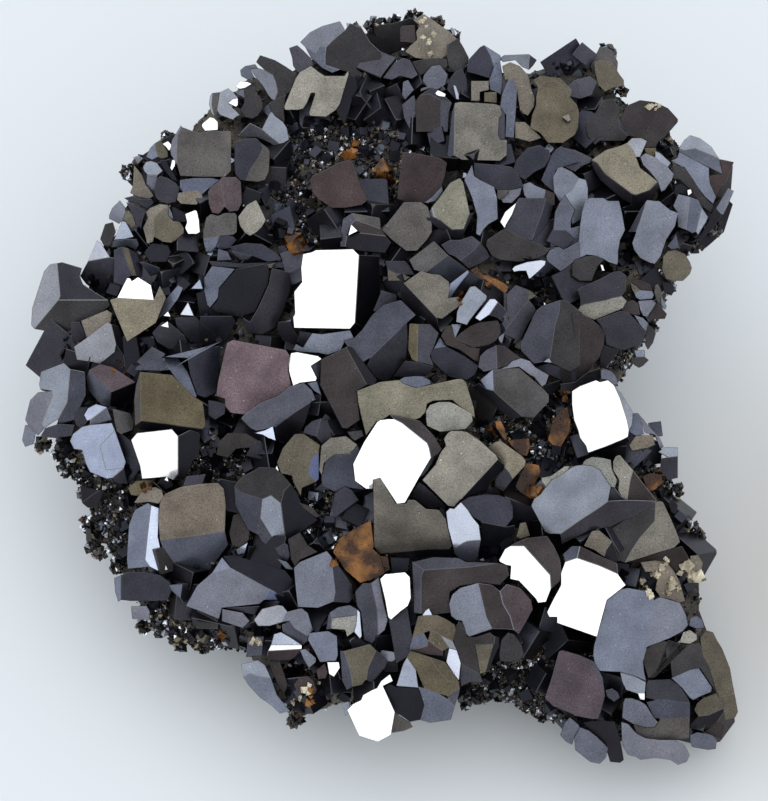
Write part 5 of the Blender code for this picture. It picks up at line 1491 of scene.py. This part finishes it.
smallCubes = {
    "count": 900,
    "across": (25, 735),     # pixels
    "down": (15, 770),
    "size": (0.3, 1.1),      # half edges in mm
    "finishes": ("slate", "graphite", "pewter", "silver", "olive"),
    "shares": (0.34, 0.48, 0.1, 0.04, 0.04),
    "margin": 2,             # pixels to the rim
    "highest": 1.5,          # mm above the plate
}


def smallCubePlaces():  # on the rock between the crystals, and low on the crystals
    rng = random.Random(33)
    low, high = smallCubes["size"]
    found = []
    tints = []
    while len(found) < smallCubes["count"]:
        pixel = (rng.uniform(*smallCubes["across"]), rng.uniform(*smallCubes["down"]))
        size = (low + (high - low) * rng.random() ** 2) * mm
        turn = randomTurn(rng)
        toneName = rng.choices(smallCubes["finishes"], smallCubes["shares"])[0]
        if not insideRim(pixel, smallCubes["margin"]):
            continue
        ray = pixelRay(pixel)
        rockHit, _, _, rockFar = rockTree.ray_cast(cameraPlace, ray)
        cubeHit, _, _, cubeFar = cubeTree.ray_cast(cameraPlace, ray)
        if rockHit is None:
            continue
        deep = cubeHit is None or rockFar < cubeFar
        if not deep:
            top = toWorld(onPlate(pixel, smallCubes["highest"]))
            if (cubeHit - top).dot(-ray) > 0 or rng.random() < 0.5:
                continue
        if deep and rng.random() < 0.55:
            continue
        at = rockHit if deep else cubeHit
        found.append((at - ray * size * 0.2, turn, [size * rng.uniform(0.85, 1.2) for _ in range(3)]))
        color, gloss, _ = finishes[toneName]
        tints.append((*color, gloss))
    return found, tints


smallSpots, smallTints = smallCubePlaces()
joinedShapes("small_galena", cubeShape, smallSpots, galena, smallTints)
print("small cubes:", len(smallSpots))


def amberSolids():  # the CAD's own amber crystal, and the lesser ones
    tree = treeOf([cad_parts["blende_crystal"]])
    main = min(amberPieces, key=lambda piece: tree.find_nearest(middleOf(piece))[3])
    main.name = "amber_crystal"
    others = joinPieces([piece for piece in amberPieces if piece != main], "lesser_amber")
    for piece in (main, others):
        setMaterial(piece, amber)
        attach(piece, "root")
    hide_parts("blende_crystal")


amberSolids()

amberBits = (  # photo pixel and size in mm
    (500, 428, 1.6), (515, 450, 1.5), (560, 428, 2.6), (562, 395, 1.3), (540, 490, 1.6), (490, 285, 1.4),
    (382, 178, 3.4), (350, 150, 2.8), (655, 478, 1.2), (310, 700, 1.4), (295, 715, 1.6), (145, 487, 1.2),
    (297, 246, 4.0), (460, 300, 1.2), (372, 575, 1.5), (340, 560, 1.4), (220, 635, 1.2), (125, 368, 1.0),
)
quartzBits = (
    (655, 575, 1.6), (645, 588, 1.4), (672, 585, 1.5), (690, 570, 1.8), (700, 577, 1.6), (310, 685, 1.2),
    (255, 640, 1.2), (655, 105, 1.2), (430, 45, 1.2), (425, 22, 1.0), (662, 562, 1.3), (295, 700, 0.9),
)
bitShape = {
    "perPlace": 5,
    "spread": 4,             # pixels
    "half": (0.4, 0.8),      # share of the size
    "sunk": 0.2,
}


def bits(name, table, material, seed):
    rng = random.Random(seed)
    places = []
    for x, y, size in [row for row in table for _ in range(bitShape["perPlace"])]:
        ray = pixelRay((x + rng.gauss(0, bitShape["spread"]), y + rng.gauss(0, bitShape["spread"])))
        hits = [tree.ray_cast(cameraPlace, ray) for tree in (cubeTree, rockTree)]
        fars = [far for place, _, _, far in hits if place is not None]
        if not fars:
            continue
        half = size * mm * rng.uniform(*bitShape["half"])
        place = cameraPlace + ray * (min(fars) - bitShape["sunk"] * half)
        places.append((place, randomTurn(rng), [half * rng.uniform(0.8, 1.2)] * 3))
    joinedShapes(name, octahedronShape, places, material)


bits("amber_bits", amberBits, amber, 51)
bits("quartz_bits", quartzBits, quartz, 52)
print("amber and quartz placed")

studio = {
    "floorSize": 6,
    "floorColor": (0.50, 0.525, 0.545, 1),
    "floorWarm": (0.36, 0.35, 0.33, 1),  # painted shadow: a soft, darker and warmer patch on the floor right of the specimen
    "warmPlace": (0.115, -0.032, 0),
    "warmReach": (0.01, 0.085),
    "floorRoughness": 0.6,
    "windowPower": 1.6,
    "windowSize": 1.2,
    "windowPlace": (-0.60, 0.40, 0.75),
    "windowColor": (0.96, 0.98, 1.0),
    # The room's dark and light colour, the way to its light side, and where the change starts and ends
    "room": ((1.08, 1.08, 1.09, 1), (1.42, 1.48, 1.54, 1), (-0.25, 0.25, 0.93), (-0.1, 0.95)),
    "dull": ((0.56, 0.62, 0.70, 1), (2.05, 2.08, 2.11, 1), (0.12, -0.35, 0.93), (0.1, 0.95)),
}


def addFloor():
    bpy.ops.mesh.primitive_plane_add(size=studio["floorSize"], location=(0, 0, 0))
    floor = bpy.context.active_object
    floor.name = "floor"
    material, tree, shader = newMaterial("pale_floor")
    place = addNode(tree, "TexCoord")["Object"]
    # painted shadow: the floor turns to the darker patch tone near the patch middle
    away = addNode(tree, "VectorMath", {0: place, 1: studio["warmPlace"]}, operation="DISTANCE")["Value"]
    blend = mapRange(tree, away, *studio["warmReach"], 1.0, 0.0, kind="SMOOTHSTEP")
    color = mixColors(tree, blend, studio["floorColor"], studio["floorWarm"])
    feed(tree, shader, {"Base Color": color, "Roughness": studio["floorRoughness"]})
    floor.data.materials.append(material)


def addWindow():
    data = bpy.data.lights.new("window", "AREA")
    data.shape = "SQUARE"
    data.size = studio["windowSize"]
    data.energy = studio["windowPower"]
    data.color = studio["windowColor"]
    window = bpy.data.objects.new("window", data)
    window.location = studio["windowPlace"]
    window.rotation_euler = (-Vector(studio["windowPlace"])).to_track_quat("-Z", "Y").to_euler()
    scene.collection.objects.link(window)


def softSky(tree, dark, light, way, reach):
    place = addNode(tree, "TexCoord")["Generated"]
    inputs = {0: place, 1: Vector(way).normalized()}
    toward = addNode(tree, "VectorMath", inputs, operation="DOT_PRODUCT")["Value"]
    return mixColors(tree, mapRange(tree, toward, *reach, kind="SMOOTHSTEP"), dark, light)


def addWorld():  # mirrors see the room, and dull surfaces a sky with more contrast
    world = bpy.data.worlds.new("studio")
    scene.world = world
    world.use_nodes = True
    tree = world.node_tree
    dullRay = addNode(tree, "LightPath")["Is Diffuse Ray"]
    color = mixColors(tree, dullRay, softSky(tree, *studio["room"]), softSky(tree, *studio["dull"]))
    feed(tree, tree.nodes["Background"], {"Color": color})
    scene.view_settings.view_transform = "Standard"


addFloor()
addWindow()
addWorld()
print("floor and light placed")
